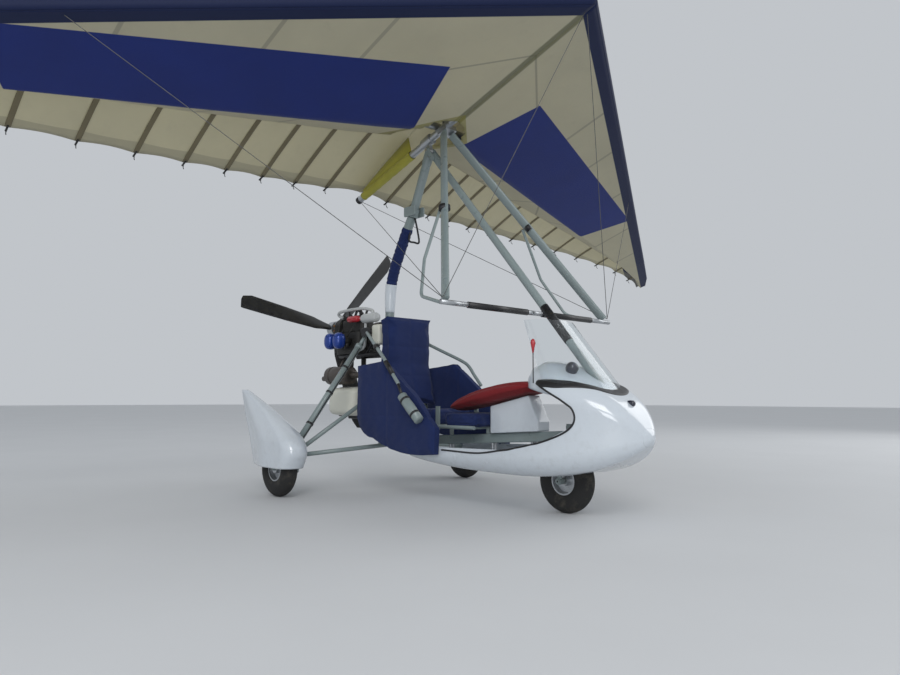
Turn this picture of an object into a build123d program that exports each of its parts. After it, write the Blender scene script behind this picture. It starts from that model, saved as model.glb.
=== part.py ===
"""Two-seat flex-wing microlight: a three-wheeled trike unit hung under a Rogallo wing.

X is forward, Y is left, Z is up, in millimetres. The ground is Z = 0. Along X every
place is a distance forward of the rear axle, which itself stands at REAR_X.
"""
import os
from math import atan2, cos, degrees, hypot, radians, sin, sqrt

from build123d import *

# Stance
REAR_X = -705.6
WHEELBASE = 1725.0
TRACK = 1730.0
TYRE_R = 185.0
TYRE_WIDTH = 104.0
RIM_R = 92.0
RIM_WIDTH = 96.0
HUB_R = 30.0
AXLE_R = 12.0
AXLE_GAP = 0.4
PIN_GAP = 0.3
SEAT_GAP = 0.3

# Chassis beam, mast and front strut
BEAM_WIDTH = 50.0
BEAM_HEIGHT = 60.0
BEAM_WALL = 3.0
BEAM_REAR = (-20.0, 330.0)
BEAM_FRONT = (2040.0, 458.0)
MAST_KNEE = (150.0, 1220.0)
MAST_JOINT = (330.0, 1985.0)
HANG_FORWARD = 524.0
HANG_Z = 2434.0
MAST_R = 34.0
MAST_UPPER_R = 32.0
MAST_WALL = 4.0
STRUT_R = BEAM_WIDTH / 2 - 0.3
STRUT_FOOT = (2046.0, 640.0)
HANG_BOLT_R = 6.0

# Nose gear
STEER_TRAIL = 30.0
HEAD_R = 26.0
STEERER_R = 17.0
STEER_GAP = 0.5
FORK_GAP = 16.0
FORK_LEG_R = 13.0
CROWN_THICK = 14.0
CROWN_CLEAR = 22.0
FOOT_BAR_SPAN = 430.0
FOOT_BAR_R = 11.0
TOW_BORE_R = 6.0

# Main gear
LEG_ROOT = (0.0, 250.0)
LEG_MID = (74.0, 640.0)
CROSS_TUBE_Z = 1062.0
CROSS_TUBE_R = 16.0
LEG_DRAG = (250.0, 25.0, 330.0)
LEG_R = 19.0
LEG_ROD_R = 11.0
LOWER_LEG_R = 15.0
KNUCKLE_IN = 96.0

# Spats
SPAT_WALL = 4.0
SPAT_HALF = 92.0
SPAT_BOTTOM = 195.0

# Propeller
PROP_FORWARD = -645.0
PROP_Z = 1220.0
PROP_R = 861.0
PROP_BLADES = 3
PROP_PHASE = 169.0
BLADE_CHORD = 150.0
BLADE_PITCH = 22.0
PROP_HUB_R = 62.0
PROP_HUB_LENGTH = 70.0

# Pod
POD_WALL = 5.0
WHEEL_WELL_HALF = 136.0

# Wing: s runs aft along the keel from the nose, n is square to the keel and up
KEEL_SLOPE = 17.7
KEEL_DROP = 78.0
NOSE_AFT_OF_HANG = -1557.0
KEEL_LENGTH = 2440.0
KEEL_R = 27.0
KEEL_WALL = 2.5
APEX_DROP = 55.0
SPAR_R = 27.0
CROSSBAR_R = 27.0
SAIL_THICK = 5.0
NOSE_RADIUS = 42.0
DOUBLE_SHARE = 0.72
BATTEN_R = 5.0

# Control frame
BAR_FORWARD = 1493.0
BAR_Z = 1172.0
BAR_HALF = 742.0
BAR_R = 14.0
DOWNTUBE_CHORD = 62.0
DOWNTUBE_THICK = 30.0
APEX_FORWARD = 690.0
STAY_R = 2.0
KINGPOST_LENGTH = 1080.0
KINGPOST_R = 19.0

FRONT_X = REAR_X + WHEELBASE
STEER_X = FRONT_X + STEER_TRAIL
HANG_X = REAR_X + HANG_FORWARD
HALF_TRACK = TRACK / 2
KEEL_AFT = (-cos(radians(KEEL_SLOPE)), 0, -sin(radians(KEEL_SLOPE)))
KEEL_UP = (-sin(radians(KEEL_SLOPE)), 0, cos(radians(KEEL_SLOPE)))
KEEL_OVER_HANG = (HANG_X + KEEL_DROP * KEEL_UP[0], HANG_Z + KEEL_DROP * KEEL_UP[2])

os.makedirs("parts", exist_ok=True)


def at(point):
    """Turn a place measured from the rear axle into one in the part's frame."""
    if len(point) == 2:
        return (REAR_X + point[0], 0.0, point[1])
    return (REAR_X + point[0], point[1], point[2])


def wing(s, y, n):
    """Give the place s aft of the nose along the keel, y left and n above the keel line."""
    along = s + NOSE_AFT_OF_HANG
    x = KEEL_OVER_HANG[0] + along * KEEL_AFT[0] + n * KEEL_UP[0]
    z = KEEL_OVER_HANG[1] + along * KEEL_AFT[2] + n * KEEL_UP[2]
    return (x, y, z)


def aft_of_nose(x, z):
    """Give the distance along the keel from the nose to the place x, z."""
    return ((x - KEEL_OVER_HANG[0]) * KEEL_AFT[0]
            + (z - KEEL_OVER_HANG[1]) * KEEL_AFT[2] - NOSE_AFT_OF_HANG)


def between(start, end, share):
    """Give the place at a share of the way from one place to another."""
    return tuple(a + (b - a) * share for a, b in zip(start, end))


def mirrored(point):
    """Give the place on the other side of the plane Y = 0."""
    return (point[0], -point[1], point[2])


def rod(start, end, radius, wall=0.0, mode=Mode.ADD):
    """Add or cut a straight round bar, or a tube where a wall is given."""
    axis = Vector(*end) - Vector(*start)
    with BuildSketch(Plane(origin=start, z_dir=axis)) as section:
        Circle(radius)
        if wall:
            Circle(radius - wall, mode=Mode.SUBTRACT)
    extrude(section.sketch, amount=axis.length, mode=mode)


def bent_tube(points, radius, bend):
    """Add a round tube along straight runs joined by arcs of one radius."""
    with BuildLine() as path:
        FilletPolyline(*points, radius=bend)
    with BuildSketch(path.line ^ 0) as section:
        Circle(radius)
    sweep(section.sketch, path=path.line)


def block(centre, size, corner=0.0, mode=Mode.ADD):
    """Add or cut a box with rounded upright corners round a centre."""
    base = (centre[0], centre[1], centre[2] - size[2] / 2)
    with BuildSketch(Plane(origin=base)) as section:
        if corner:
            RectangleRounded(size[0], size[1], corner)
        else:
            Rectangle(size[0], size[1])
    extrude(section.sketch, amount=size[2], mode=mode)


def save(piece, name):
    """Name a finished piece and write it."""
    piece.part.label = name
    export_step(piece.part, f"parts/{name}.step")


# Wheels: each is a tyre on a rim whose bore runs on a stub axle
wheels = (  # name, axle x, centre y
    ("front", FRONT_X, 0.0),
    ("rear_left", REAR_X, HALF_TRACK),
    ("rear_right", REAR_X, -HALF_TRACK),
)
for name, axle_x, wheel_y in wheels:
    hub = (axle_x, wheel_y, TYRE_R)
    across = Plane(origin=hub, x_dir=(0, 1, 0), z_dir=(1, 0, 0))
    spin = Axis(hub, (0, 1, 0))
    bead = RIM_R - 10.0
    with BuildPart() as tyre:
        with BuildSketch(across):
            with BuildLine():
                half = TYRE_WIDTH / 2
                shoulder = TYRE_R - 34.0
                Line((-half + 14, bead), (half - 14, bead))
                ThreePointArc((half - 14, bead), (half, (bead + shoulder) / 2), (half - 7, shoulder))
                ThreePointArc((half - 7, shoulder), (0, TYRE_R), (-half + 7, shoulder))
                ThreePointArc((-half + 7, shoulder), (-half, (bead + shoulder) / 2), (-half + 14, bead))
            make_face()
        revolve(axis=spin)
    save(tyre, f"{name}_tyre")

    with BuildPart() as rim:
        with BuildSketch(across):
            with BuildLine():
                edge = RIM_WIDTH / 2
                bore = AXLE_R + AXLE_GAP
                seat = bead - SEAT_GAP
                Polyline(
                    (-edge + 12, bore), (edge - 12, bore), (edge - 12, HUB_R), (6, HUB_R),
                    (6, seat - 16), (half - 24, seat - 8), (half - 14 - SEAT_GAP, seat - 8),
                    (half - 14 - SEAT_GAP, seat), (-half + 14 + SEAT_GAP, seat),
                    (-half + 14 + SEAT_GAP, seat - 8), (-half + 24, seat - 8), (-6, seat - 16),
                    (-6, HUB_R), (-edge + 12, HUB_R), close=True)
            make_face()
        revolve(axis=spin)
    save(rim, f"{name}_rim")


# Chassis beam: a box tube from the mast foot to the steering head, with the nose upright
beam_slope = (BEAM_FRONT[1] - BEAM_REAR[1]) / (BEAM_FRONT[0] - BEAM_REAR[0])
beam_at_head = BEAM_REAR[1] + beam_slope * (WHEELBASE + STEER_TRAIL - BEAM_REAR[0])
head_low = beam_at_head - BEAM_HEIGHT / 2 - 6.0
head_high = beam_at_head + BEAM_HEIGHT / 2 + 26.0
with BuildPart() as chassis_beam:
    run = Vector(*at(BEAM_FRONT)) - Vector(*at(BEAM_REAR))
    with BuildSketch(Plane(origin=at(BEAM_REAR), x_dir=(0, 1, 0), z_dir=run)):
        RectangleRounded(BEAM_WIDTH, BEAM_HEIGHT, 8)
    extrude(amount=run.length)
    with BuildSketch(Plane(origin=at(BEAM_REAR), x_dir=(0, 1, 0), z_dir=run)):
        RectangleRounded(BEAM_WIDTH - 2 * BEAM_WALL, BEAM_HEIGHT - 2 * BEAM_WALL, 5)
    extrude(amount=run.length, mode=Mode.SUBTRACT)
    with BuildSketch(Plane.XY.offset(head_low)):
        with Locations((STEER_X, 0)):
            Circle(HEAD_R)
    extrude(amount=head_high - head_low)
    with BuildSketch(Plane.XY.offset(head_low)):
        with Locations((STEER_X, 0)):
            Circle(STEERER_R + STEER_GAP)
    extrude(amount=head_high - head_low, mode=Mode.SUBTRACT)
    foot = at(STRUT_FOOT)
    front = at(BEAM_FRONT)
    for side in (-1, 1):
        with BuildSketch(Plane.XZ.offset(-side * (BEAM_WIDTH / 2 + 2.5) - 2.5)):
            with BuildLine():
                Polyline(
                    (front[0] - 70, front[2] - 20), (front[0] - 2, front[2] - 20),
                    (foot[0] + 20, foot[2] - 8), (foot[0] + 2, foot[2] + 22),
                    (foot[0] - 36, foot[2] + 22), close=True)
            make_face()
        extrude(amount=5)
save(chassis_beam, "chassis_beam")


# Mast: the lower tube stands on the beam, and the upper one carries the hang bolt
hang = (HANG_X, 0.0, HANG_Z)
mast_foot = at((BEAM_REAR[0] + 60.0, BEAM_REAR[1] + BEAM_HEIGHT / 2 + 10.5))
mast_joint = at(MAST_JOINT)
upper_run = Vector(*hang) - Vector(*mast_joint)
upper_unit = upper_run / upper_run.length
with BuildPart() as mast_lower:
    with BuildLine() as path:
        FilletPolyline(mast_foot, at(MAST_KNEE), mast_joint, radius=900)
    with BuildSketch(path.line ^ 0):
        Circle(MAST_R)
        Circle(MAST_R - MAST_WALL, mode=Mode.SUBTRACT)
    sweep(path=path.line)
save(mast_lower, "mast_lower")

mast_top = Vector(*hang) - upper_unit * 46.0
upper_start = Vector(*mast_joint) + upper_unit * (SEAT_GAP + MAST_UPPER_R * 0.18)
with BuildPart() as mast_upper:
    rod(tuple(upper_start), tuple(mast_top), MAST_UPPER_R, MAST_WALL)
    for side in (-1, 1):
        cheek = Plane(origin=(HANG_X, side * 24.0 + 4.0, HANG_Z), x_dir=upper_unit, z_dir=(0, -1, 0))
        with BuildSketch(cheek):
            with Locations((-46, 0)):
                SlotCenterToCenter(92, 40)
            Circle(HANG_BOLT_R + PIN_GAP, mode=Mode.SUBTRACT)
        extrude(amount=8)
save(mast_upper, "mast_upper")

with BuildPart() as mast_bracket:
    with BuildSketch(Plane(origin=mast_joint, z_dir=upper_unit)):
        Circle(MAST_R + 9)
        Circle(MAST_R + 1, mode=Mode.SUBTRACT)
    extrude(amount=60)
    for side in (-1, 1):
        with BuildSketch(Plane.XZ.offset(-side * (MAST_R + 9) - 5)):
            with Locations((mast_joint[0] + 20, mast_joint[2] + 30)):
                RectangleRounded(120, 70, 10)
        extrude(amount=10)
save(mast_bracket, "mast_bracket")

strut_foot = at(STRUT_FOOT)
strut_run = Vector(*hang) - Vector(*strut_foot)
strut_unit = strut_run / strut_run.length
strut_top = Vector(*hang) - strut_unit * 62.0
with BuildPart() as front_strut:
    rod(strut_foot, tuple(strut_top), STRUT_R, MAST_WALL)
    for side in (-1, 1):
        ear = Plane(origin=(HANG_X, side * 33.5 + 2.5, HANG_Z), x_dir=strut_unit, z_dir=(0, -1, 0))
        with BuildSketch(ear):
            with Locations((-50, 0)):
                SlotCenterToCenter(100, 36)
            Circle(HANG_BOLT_R + PIN_GAP, mode=Mode.SUBTRACT)
        extrude(amount=5)
save(front_strut, "front_strut")


# Main gear: a telescopic leg and two lower tubes each side meet at the knuckle
for side, name in ((1, "left"), (-1, "right")):
    knuckle_y = side * (HALF_TRACK - KNUCKLE_IN)
    eye = (REAR_X, knuckle_y, TYRE_R)
    with BuildPart() as gear:
        wall_y = side * (HALF_TRACK - SPAT_HALF + SPAT_WALL + SEAT_GAP)
        block((REAR_X + 25, wall_y - side * 6, TYRE_R + 45), (110, 18, 150), 0)
        block((REAR_X - 30, wall_y + side * 1.5, TYRE_R + 105), (140, 3, 170), 0)
        rod(eye, (REAR_X, side * (HALF_TRACK + RIM_WIDTH / 2 + 4), TYRE_R), AXLE_R)
        rod(eye, (REAR_X, side * (HALF_TRACK - RIM_WIDTH / 2 + 6), TYRE_R), AXLE_R + 7)
        root_z = CROSS_TUBE_Z - CROSS_TUBE_R - SEAT_GAP - LEG_ROD_R * 0.56
        top = at((LEG_ROOT[0], side * LEG_ROOT[1], root_z))
        low = (REAR_X + 5, knuckle_y, TYRE_R + 70)
        split_at = between(top, low, 0.3)
        rod(top, split_at, LEG_ROD_R)
        rod(between(top, low, 0.28), low, LEG_R)
        middle = at((LEG_MID[0], side * (MAST_R + SEAT_GAP + LOWER_LEG_R * 0.45), LEG_MID[1]))
        rod(middle, (REAR_X + 30, knuckle_y, TYRE_R + 95), LOWER_LEG_R)
        drag = at((LEG_DRAG[0], side * (BEAM_WIDTH / 2 + SEAT_GAP + LOWER_LEG_R * 0.28), LEG_DRAG[2]))
        rod(drag, (REAR_X + 62, knuckle_y, TYRE_R + 85), LOWER_LEG_R)
    save(gear, f"gear_{name}")


# Spats: a teardrop shell with a fin-like tail, open below and cut for the knuckle inside
def spat_profile(inset):
    """Draw the spat's side view, shrunk by the inset."""
    with BuildLine() as outline:
        Polyline((-345 + inset, SPAT_BOTTOM), (215 - inset, SPAT_BOTTOM))
        ThreePointArc((215 - inset, SPAT_BOTTOM), (272 - inset, 300), (205 - inset, 405 - inset))
        Polyline((205 - inset, 405 - inset), (-10, 515 - inset), (-250, 625 - inset))
        ThreePointArc((-250, 625 - inset), (-360, 670 - inset), (-470, 712 - inset))
        Polyline((-470, 712 - inset), (-545 + 2 * inset, 712 - inset), (-440 + inset, 400))
        ThreePointArc((-440 + inset, 400), (-400 + inset, 285), (-345 + inset, SPAT_BOTTOM))
    make_face(outline.edges())


def spat_plan(inset):
    """Draw the spat's top view, shrunk by the inset."""
    half = SPAT_HALF - inset
    with BuildLine() as outline:
        ThreePointArc((300 - inset, 0), (190, half * 0.78), (40, half))
        Polyline((40, half), (-120, half))
        ThreePointArc((-120, half), (-380, half * 0.5), (-570 + inset, 10))
        Polyline((-570 + inset, 10), (-570 + inset, -10))
        ThreePointArc((-570 + inset, -10), (-380, -half * 0.5), (-120, -half))
        Polyline((-120, -half), (40, -half))
        ThreePointArc((40, -half), (190, -half * 0.78), (300 - inset, 0))
    make_face(outline.edges())


def spat_form(centre_y, inset):
    """Make the spat's whole form round one wheel, shrunk by the inset."""
    with BuildPart() as form:
        with BuildSketch(Plane(origin=(REAR_X, centre_y + SPAT_HALF, 0), z_dir=(0, -1, 0), x_dir=(1, 0, 0))):
            spat_profile(inset)
        extrude(amount=2 * SPAT_HALF)
        with BuildSketch(Plane(origin=(REAR_X, centre_y, 0))):
            spat_plan(inset)
        extrude(amount=900, mode=Mode.INTERSECT)
    return form.part


for side, name in ((1, "left"), (-1, "right")):
    centre_y = side * HALF_TRACK
    outer_form = spat_form(centre_y, 0.0)
    inner_form = spat_form(centre_y, SPAT_WALL)
    with BuildPart() as spat:
        add(outer_form)
        add(inner_form, mode=Mode.SUBTRACT)
        with BuildSketch(Plane(origin=(REAR_X + 25, centre_y - side * SPAT_HALF, SPAT_BOTTOM))):
            Rectangle(122, 3 * SPAT_WALL)
        extrude(amount=160, mode=Mode.SUBTRACT)
    save(spat, f"spat_{name}")


# Nose gear: the fork turns in the beam's head and carries the foot bar
crown_z = TYRE_R * 2 + CROWN_CLEAR
leg_y = TYRE_WIDTH / 2 + FORK_GAP
front_hub = (FRONT_X, 0.0, TYRE_R)
with BuildPart() as fork:
    rod((STEER_X, 0, crown_z), (STEER_X, 0, head_high + 12), STEERER_R)
    with BuildSketch(Plane.XY.offset(head_high + SEAT_GAP)):
        with Locations((STEER_X, 0)):
            Circle(HEAD_R - 2)
    extrude(amount=12)
    block((STEER_X - 12, 0, crown_z - CROWN_THICK / 2), (76, 2 * leg_y + 30, CROWN_THICK), 12)
    for side in (-1, 1):
        rod((STEER_X - 12, side * leg_y, crown_z - 4), (FRONT_X, side * leg_y, TYRE_R), FORK_LEG_R)
        rod((FRONT_X, side * (leg_y + 15), TYRE_R), (FRONT_X, side * (RIM_WIDTH / 2 - 6), TYRE_R), AXLE_R + 7)
    rod((FRONT_X, -leg_y - 19, TYRE_R), (FRONT_X, leg_y + 19, TYRE_R), AXLE_R)
    with BuildSketch(Plane(origin=(FRONT_X, -leg_y - 25, TYRE_R), z_dir=(0, 1, 0))):
        Circle(TOW_BORE_R)
    extrude(amount=2 * leg_y + 50, mode=Mode.SUBTRACT)
save(fork, "fork")

foot_z = crown_z - CROWN_THICK / 2
with BuildPart() as foot_bar:
    ahead = STEER_X + 26 + FOOT_BAR_R + SEAT_GAP
    bent_tube([(STEER_X - 25, -FOOT_BAR_SPAN / 2, foot_z), (ahead, -110, foot_z),
               (ahead, 110, foot_z), (STEER_X - 25, FOOT_BAR_SPAN / 2, foot_z)], FOOT_BAR_R, 50)
    for side in (-1, 1):
        rod((STEER_X - 25, side * (FOOT_BAR_SPAN / 2 - 2), foot_z),
            (STEER_X - 40, side * (FOOT_BAR_SPAN / 2 - 90), foot_z), FOOT_BAR_R + 4)
save(foot_bar, "foot_bar")


# Pod: a moulded shell with a teardrop opening, cut open above its side sills
pod_sections = (  # forward of rear axle, half width, bottom, top, corner
    (600, 262, 262, 480, 70),
    (1000, 302, 226, 600, 90),
    (1400, 322, 214, 715, 110),
    (1750, 320, 222, 768, 120),
    (2000, 262, 262, 722, 110),
    (2170, 168, 330, 620, 80),
    (2268, 62, 402, 498, 40),
)


def pod_form(inset):
    """Loft the pod's whole form through its sections, shrunk by the inset."""
    with BuildPart() as form:
        for forward, half, bottom, top, corner in pod_sections:
            last = forward == pod_sections[-1][0]
            x = REAR_X + forward - (inset if last else 0)
            plane = Plane(origin=(x, 0, (bottom + top) / 2), x_dir=(0, 1, 0), z_dir=(1, 0, 0))
            with BuildSketch(plane):
                RectangleRounded(2 * (half - inset), top - bottom - 2 * inset, corner - inset)
        loft()
    return form.part


pod_outer = pod_form(0.0)
pod_inner = pod_form(POD_WALL)
with BuildPart() as pod:
    add(pod_outer)
    add(pod_inner, mode=Mode.SUBTRACT)
    with BuildSketch(Plane.XZ.offset(-400)):
        with BuildLine():
            Polyline(at((500, 900))[::2], at((500, 335))[::2], at((1500, 362))[::2])
            TangentArc(at((1500, 362))[::2], at((1960, 500))[::2], tangent=(1, 0.03))
            ThreePointArc(at((1960, 500))[::2], at((1975, 585))[::2], at((1900, 650))[::2])
            Polyline(at((1900, 650))[::2], at((1735, 735))[::2], at((1640, 900))[::2], at((500, 900))[::2])
        make_face()
    extrude(amount=800, mode=Mode.SUBTRACT)
    with BuildSketch(Plane.XY.offset(150)):
        with Locations((FRONT_X, 0)):
            RectangleRounded(2 * (TYRE_R + 30), 2 * WHEEL_WELL_HALF, 60)
    extrude(amount=200, mode=Mode.SUBTRACT)
    rod(tuple(Vector(*strut_foot) + strut_unit * 20), tuple(Vector(*strut_foot) + strut_unit * 400),
        STRUT_R + 4, mode=Mode.SUBTRACT)
save(pod, "pod")

with BuildPart() as pod_posts:
    for forward in (760, 1150, WHEELBASE - TYRE_R - 60):
        under = BEAM_REAR[1] + beam_slope * (forward - BEAM_REAR[0]) - BEAM_HEIGHT / 2 - 1.2
        for side in (-1, 1):
            rod(at((forward, side * 12, 190)), at((forward, side * 12, under)), 11)
    add(pod_form(POD_WALL + SEAT_GAP), mode=Mode.INTERSECT)
save(pod_posts, "pod_posts")

with BuildPart() as instrument_cowl:
    cowl_base = 745.0
    with BuildSketch(Plane.XY.offset(cowl_base)):
        with Locations((REAR_X + 1740, 0)):
            Ellipse(222, 246)
    with BuildSketch(Plane.XY.offset(cowl_base + 75)):
        with Locations((REAR_X + 1720, 0)):
            Ellipse(180, 215)
    with BuildSketch(Plane.XY.offset(cowl_base + 122)):
        with Locations((REAR_X + 1690, 0)):
            Ellipse(90, 120)
    loft()
    block((REAR_X + 1500, 0, cowl_base + 60), (200, 600, 200), 0, Mode.SUBTRACT)
    add(pod_form(-SEAT_GAP), mode=Mode.SUBTRACT)
    rod(tuple(Vector(*strut_foot) + strut_unit * 20), tuple(Vector(*strut_foot) + strut_unit * 400),
        STRUT_R + 4, mode=Mode.SUBTRACT)
save(instrument_cowl, "instrument_cowl")


# Windscreen: a thin curved sheet standing on the cowl's front edge
with BuildPart() as windscreen:
    screen_low = Plane(origin=(REAR_X + 1885, 0, 620))
    screen_high = Plane(origin=(REAR_X + 1600, 0, 1110))
    for radius, mode in ((0.0, Mode.ADD), (3.0, Mode.SUBTRACT)):
        with BuildSketch(screen_low):
            Ellipse(235 - radius, 290 - radius)
        with BuildSketch(screen_high):
            Ellipse(110 - radius, 190 - radius)
        loft(mode=mode)
    with BuildSketch(Plane.XZ.offset(-400)):
        with BuildLine():
            Polyline((REAR_X + 1300, 600), (REAR_X + 1800, 600), (REAR_X + 1760, 745),
                     (REAR_X + 1540, 1130), (REAR_X + 1300, 1130), close=True)
        make_face()
    extrude(amount=800, mode=Mode.SUBTRACT)
    add(pod_form(-SEAT_GAP), mode=Mode.SUBTRACT)
save(windscreen, "windscreen")


# Seats: a tubular frame over the beam, two cushions, the rear back and the folding front back
seat_top = 470.0
BACK_HINGE = (815.0, 586.0)
BACKREST_HALF = 165.0
with BuildPart() as seat_frame:
    for side in (-1, 1):
        rail_y = side * 180
        bent_tube([at((190, rail_y, 900)), at((330, rail_y, seat_top)), at((1150, rail_y, seat_top))], 12, 60)
    for side in (-1, 1):
        block(at((BACK_HINGE[0], side * 178, BACK_HINGE[1] - 60)), (34, 10, 152), 0)
        rod(at((BACK_HINGE[0], side * 176, BACK_HINGE[1])),
            at((BACK_HINGE[0], side * (BACKREST_HALF + SEAT_GAP), BACK_HINGE[1])), 8)
    for forward in (420, 760, 1100):
        rod(at((forward, -180, seat_top)), at((forward, 180, seat_top)), 11)
        rod(at((forward, 0, BEAM_REAR[1] + beam_slope * (forward + 20) + BEAM_HEIGHT / 2 + 1.2)), at((forward, 0, seat_top)), 14)
save(seat_frame, "seat_frame")

cushion_low = seat_top + 12 + SEAT_GAP
with BuildPart() as rear_seat:
    block(at((600, 0, cushion_low + 45)), (380, 400, 90), 60)
save(rear_seat, "rear_seat")

with BuildPart() as front_seat:
    block(at((1012, 0, cushion_low + 35)), (340, 400, 70), 60)
save(front_seat, "front_seat")

with BuildPart() as seat_back:
    with BuildSketch(Plane.XZ.offset(-225)):
        with BuildLine():
            Polyline(at((400, 590))[::2], at((300.6, 600))[::2], at((202.6, 902))[::2], at((240, 1240))[::2],
                     at((320, 1262))[::2], at((310, 900))[::2], close=True)
        make_face()
    extrude(amount=450)
save(seat_back, "seat_back")

back_hinge = at(BACK_HINGE)
with BuildPart() as front_backrest:
    with BuildSketch(Plane.XZ.offset(-BACKREST_HALF)):
        with BuildLine():
            Polyline((back_hinge[0], back_hinge[2] - 18), (back_hinge[0] + 330, back_hinge[2] + 6))
            ThreePointArc((back_hinge[0] + 330, back_hinge[2] + 6), (back_hinge[0] + 360, back_hinge[2] + 36),
                          (back_hinge[0] + 330, back_hinge[2] + 60))
            ThreePointArc((back_hinge[0] + 330, back_hinge[2] + 60), (back_hinge[0] + 150, back_hinge[2] + 50),
                          (back_hinge[0], back_hinge[2] + 18))
            Line((back_hinge[0], back_hinge[2] + 18), (back_hinge[0], back_hinge[2] - 18))
        make_face()
    extrude(amount=2 * BACKREST_HALF)
save(front_backrest, "front_backrest")


# Side panniers: stitched cloth bags from the seat back down to the pod
for side, name in ((1, "left"), (-1, "right")):
    with BuildPart() as pannier:
        with BuildSketch(Plane.XZ.offset(-side * 357.2)):
            with BuildLine():
                Polyline(at((140, 900))[::2], at((130, 530))[::2])
                ThreePointArc(at((130, 530))[::2], at((190, 420))[::2], at((330, 360))[::2])
                ThreePointArc(at((330, 360))[::2], at((650, 275))[::2], at((990, 290))[::2])
                Polyline(at((990, 290))[::2], at((1000, 470))[::2], at((800, 680))[::2],
                         at((460, 930))[::2], at((140, 900))[::2])
            make_face()
        extrude(amount=side * 55)
    save(pannier, f"pannier_{name}")


# Engine: crankcase, two cylinders with domed heads, gearbox, carburettors and exhaust
ENGINE = (-330.0, 0.0, 1080.0)
with BuildPart() as engine_case:
    block(at(ENGINE), (300, 210, 170), 30)
    with BuildSketch(Plane(origin=at((-185, 0, 1100)), z_dir=(1, 0, 0))):
        Circle(75)
    extrude(amount=60)
    for side in (-1, 1):
        rod(at((-330, side * 60, 1000)), at((-330, side * 60, 905)), 20)
save(engine_case, "engine_case")

with BuildPart() as engine_heads:
    for forward in (-400, -260):
        rod(at((forward, 0, 994.7)), at((forward, 0, 850)), 62)
    engine_heads_low = at((-330, 0, 825))
    block(engine_heads_low, (290, 150, 50), 40)
save(engine_heads, "engine_heads")

prop_hub_back = REAR_X + PROP_FORWARD + PROP_HUB_LENGTH / 2
with BuildPart() as gearbox:
    gear_x = REAR_X - 480 - SEAT_GAP
    with BuildSketch(Plane(origin=(gear_x, 0, PROP_Z), x_dir=(0, 1, 0), z_dir=(-1, 0, 0))):
        with Locations((0, 0)):
            Circle(80)
        with Locations((0, -110)):
            Circle(95)
        with Locations((0, -60)):
            Rectangle(150, 120)
    extrude(amount=70)
    rod((gear_x - 70, 0, PROP_Z), (prop_hub_back + 2 - PROP_HUB_LENGTH, 0, PROP_Z), 16)
save(gearbox, "gearbox")

with BuildPart() as carburettors:
    for forward in (-400, -260):
        rod(at((forward, -105 - SEAT_GAP, 1100)), at((forward, -190, 1100)), 32)
    block(at((-330, -235, 1100)), (250, 90, 110), 30)
save(carburettors, "carburettors")

with BuildPart() as exhaust:
    for forward in (-400, -260):
        rod(at((forward, 105 + SEAT_GAP, 1060)), at((forward, 200, 1060)), 24)
    rod(at((-470, 240, 1060)), at((-120, 240, 1060)), 70)
    rod(at((-120, 240, 1060)), at((-60, 240, 1060)), 22)
save(exhaust, "exhaust")

mount_z = ENGINE[2] + 85 + 14 + SEAT_GAP
with BuildPart() as engine_mount:
    for side in (-1, 1):
        rod(at((-450, side * 60, mount_z)), at((170, side * 60, mount_z)), 14)
    block(at((145, 0, mount_z)), (100, 150, 26), 10)
    rod(at((LEG_ROOT[0], -262, CROSS_TUBE_Z)), at((LEG_ROOT[0], 262, CROSS_TUBE_Z)), CROSS_TUBE_R)
    block(at((70, 0, CROSS_TUBE_Z)), (140, 90, 24), 10)
    for side in (-1, 1):
        rod(at((LEG_ROOT[0], side * 60, CROSS_TUBE_Z)), at((-80, side * 60, mount_z)), 12)
    rod(mast_foot, at(MAST_KNEE), MAST_R + SEAT_GAP, mode=Mode.SUBTRACT)
save(engine_mount, "engine_mount")

TANK_BOTTOM = 520.0
tray_top = TANK_BOTTOM - SEAT_GAP
mast_lean = (MAST_KNEE[0] - BEAM_REAR[0] - 60) / (MAST_KNEE[1] - mast_foot[2])
mast_at_tray = BEAM_REAR[0] + 60 + mast_lean * (tray_top - mast_foot[2])
with BuildPart() as tank_tray:
    block(at((-230, 0, tray_top - 3)), (300, 300, 6), 30)
    for side in (-1, 1):
        rod(at((-330, side * 70, tray_top - 14)), at((mast_at_tray, side * 48, tray_top - 14)), 12)
    block(at((mast_at_tray, 0, tray_top - 14)), (100, 112, 24), 16)
    rod(mast_foot, at(MAST_KNEE), MAST_R + SEAT_GAP, mode=Mode.SUBTRACT)
save(tank_tray, "tank_tray")

with BuildPart() as fuel_tank:
    block(at((-230, 0, TANK_BOTTOM + 130)), (340, 480, 260), 80)
    fillet(fuel_tank.edges().group_by(Axis.Z)[0], 40)
    fillet(fuel_tank.edges().group_by(Axis.Z)[-1], 40)
save(fuel_tank, "fuel_tank")


# Propeller: three twisted blades in a hub on the gearbox shaft
hub_back = REAR_X + PROP_FORWARD - PROP_HUB_LENGTH / 2
prop_axis = Axis((hub_back, 0, PROP_Z), (1, 0, 0))
with BuildPart() as prop_hub:
    with BuildSketch(Plane(origin=(hub_back, 0, PROP_Z), z_dir=(1, 0, 0))):
        Circle(PROP_HUB_R)
        Circle(16 + SEAT_GAP, mode=Mode.SUBTRACT)
    extrude(amount=PROP_HUB_LENGTH)
save(prop_hub, "prop_hub")

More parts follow.
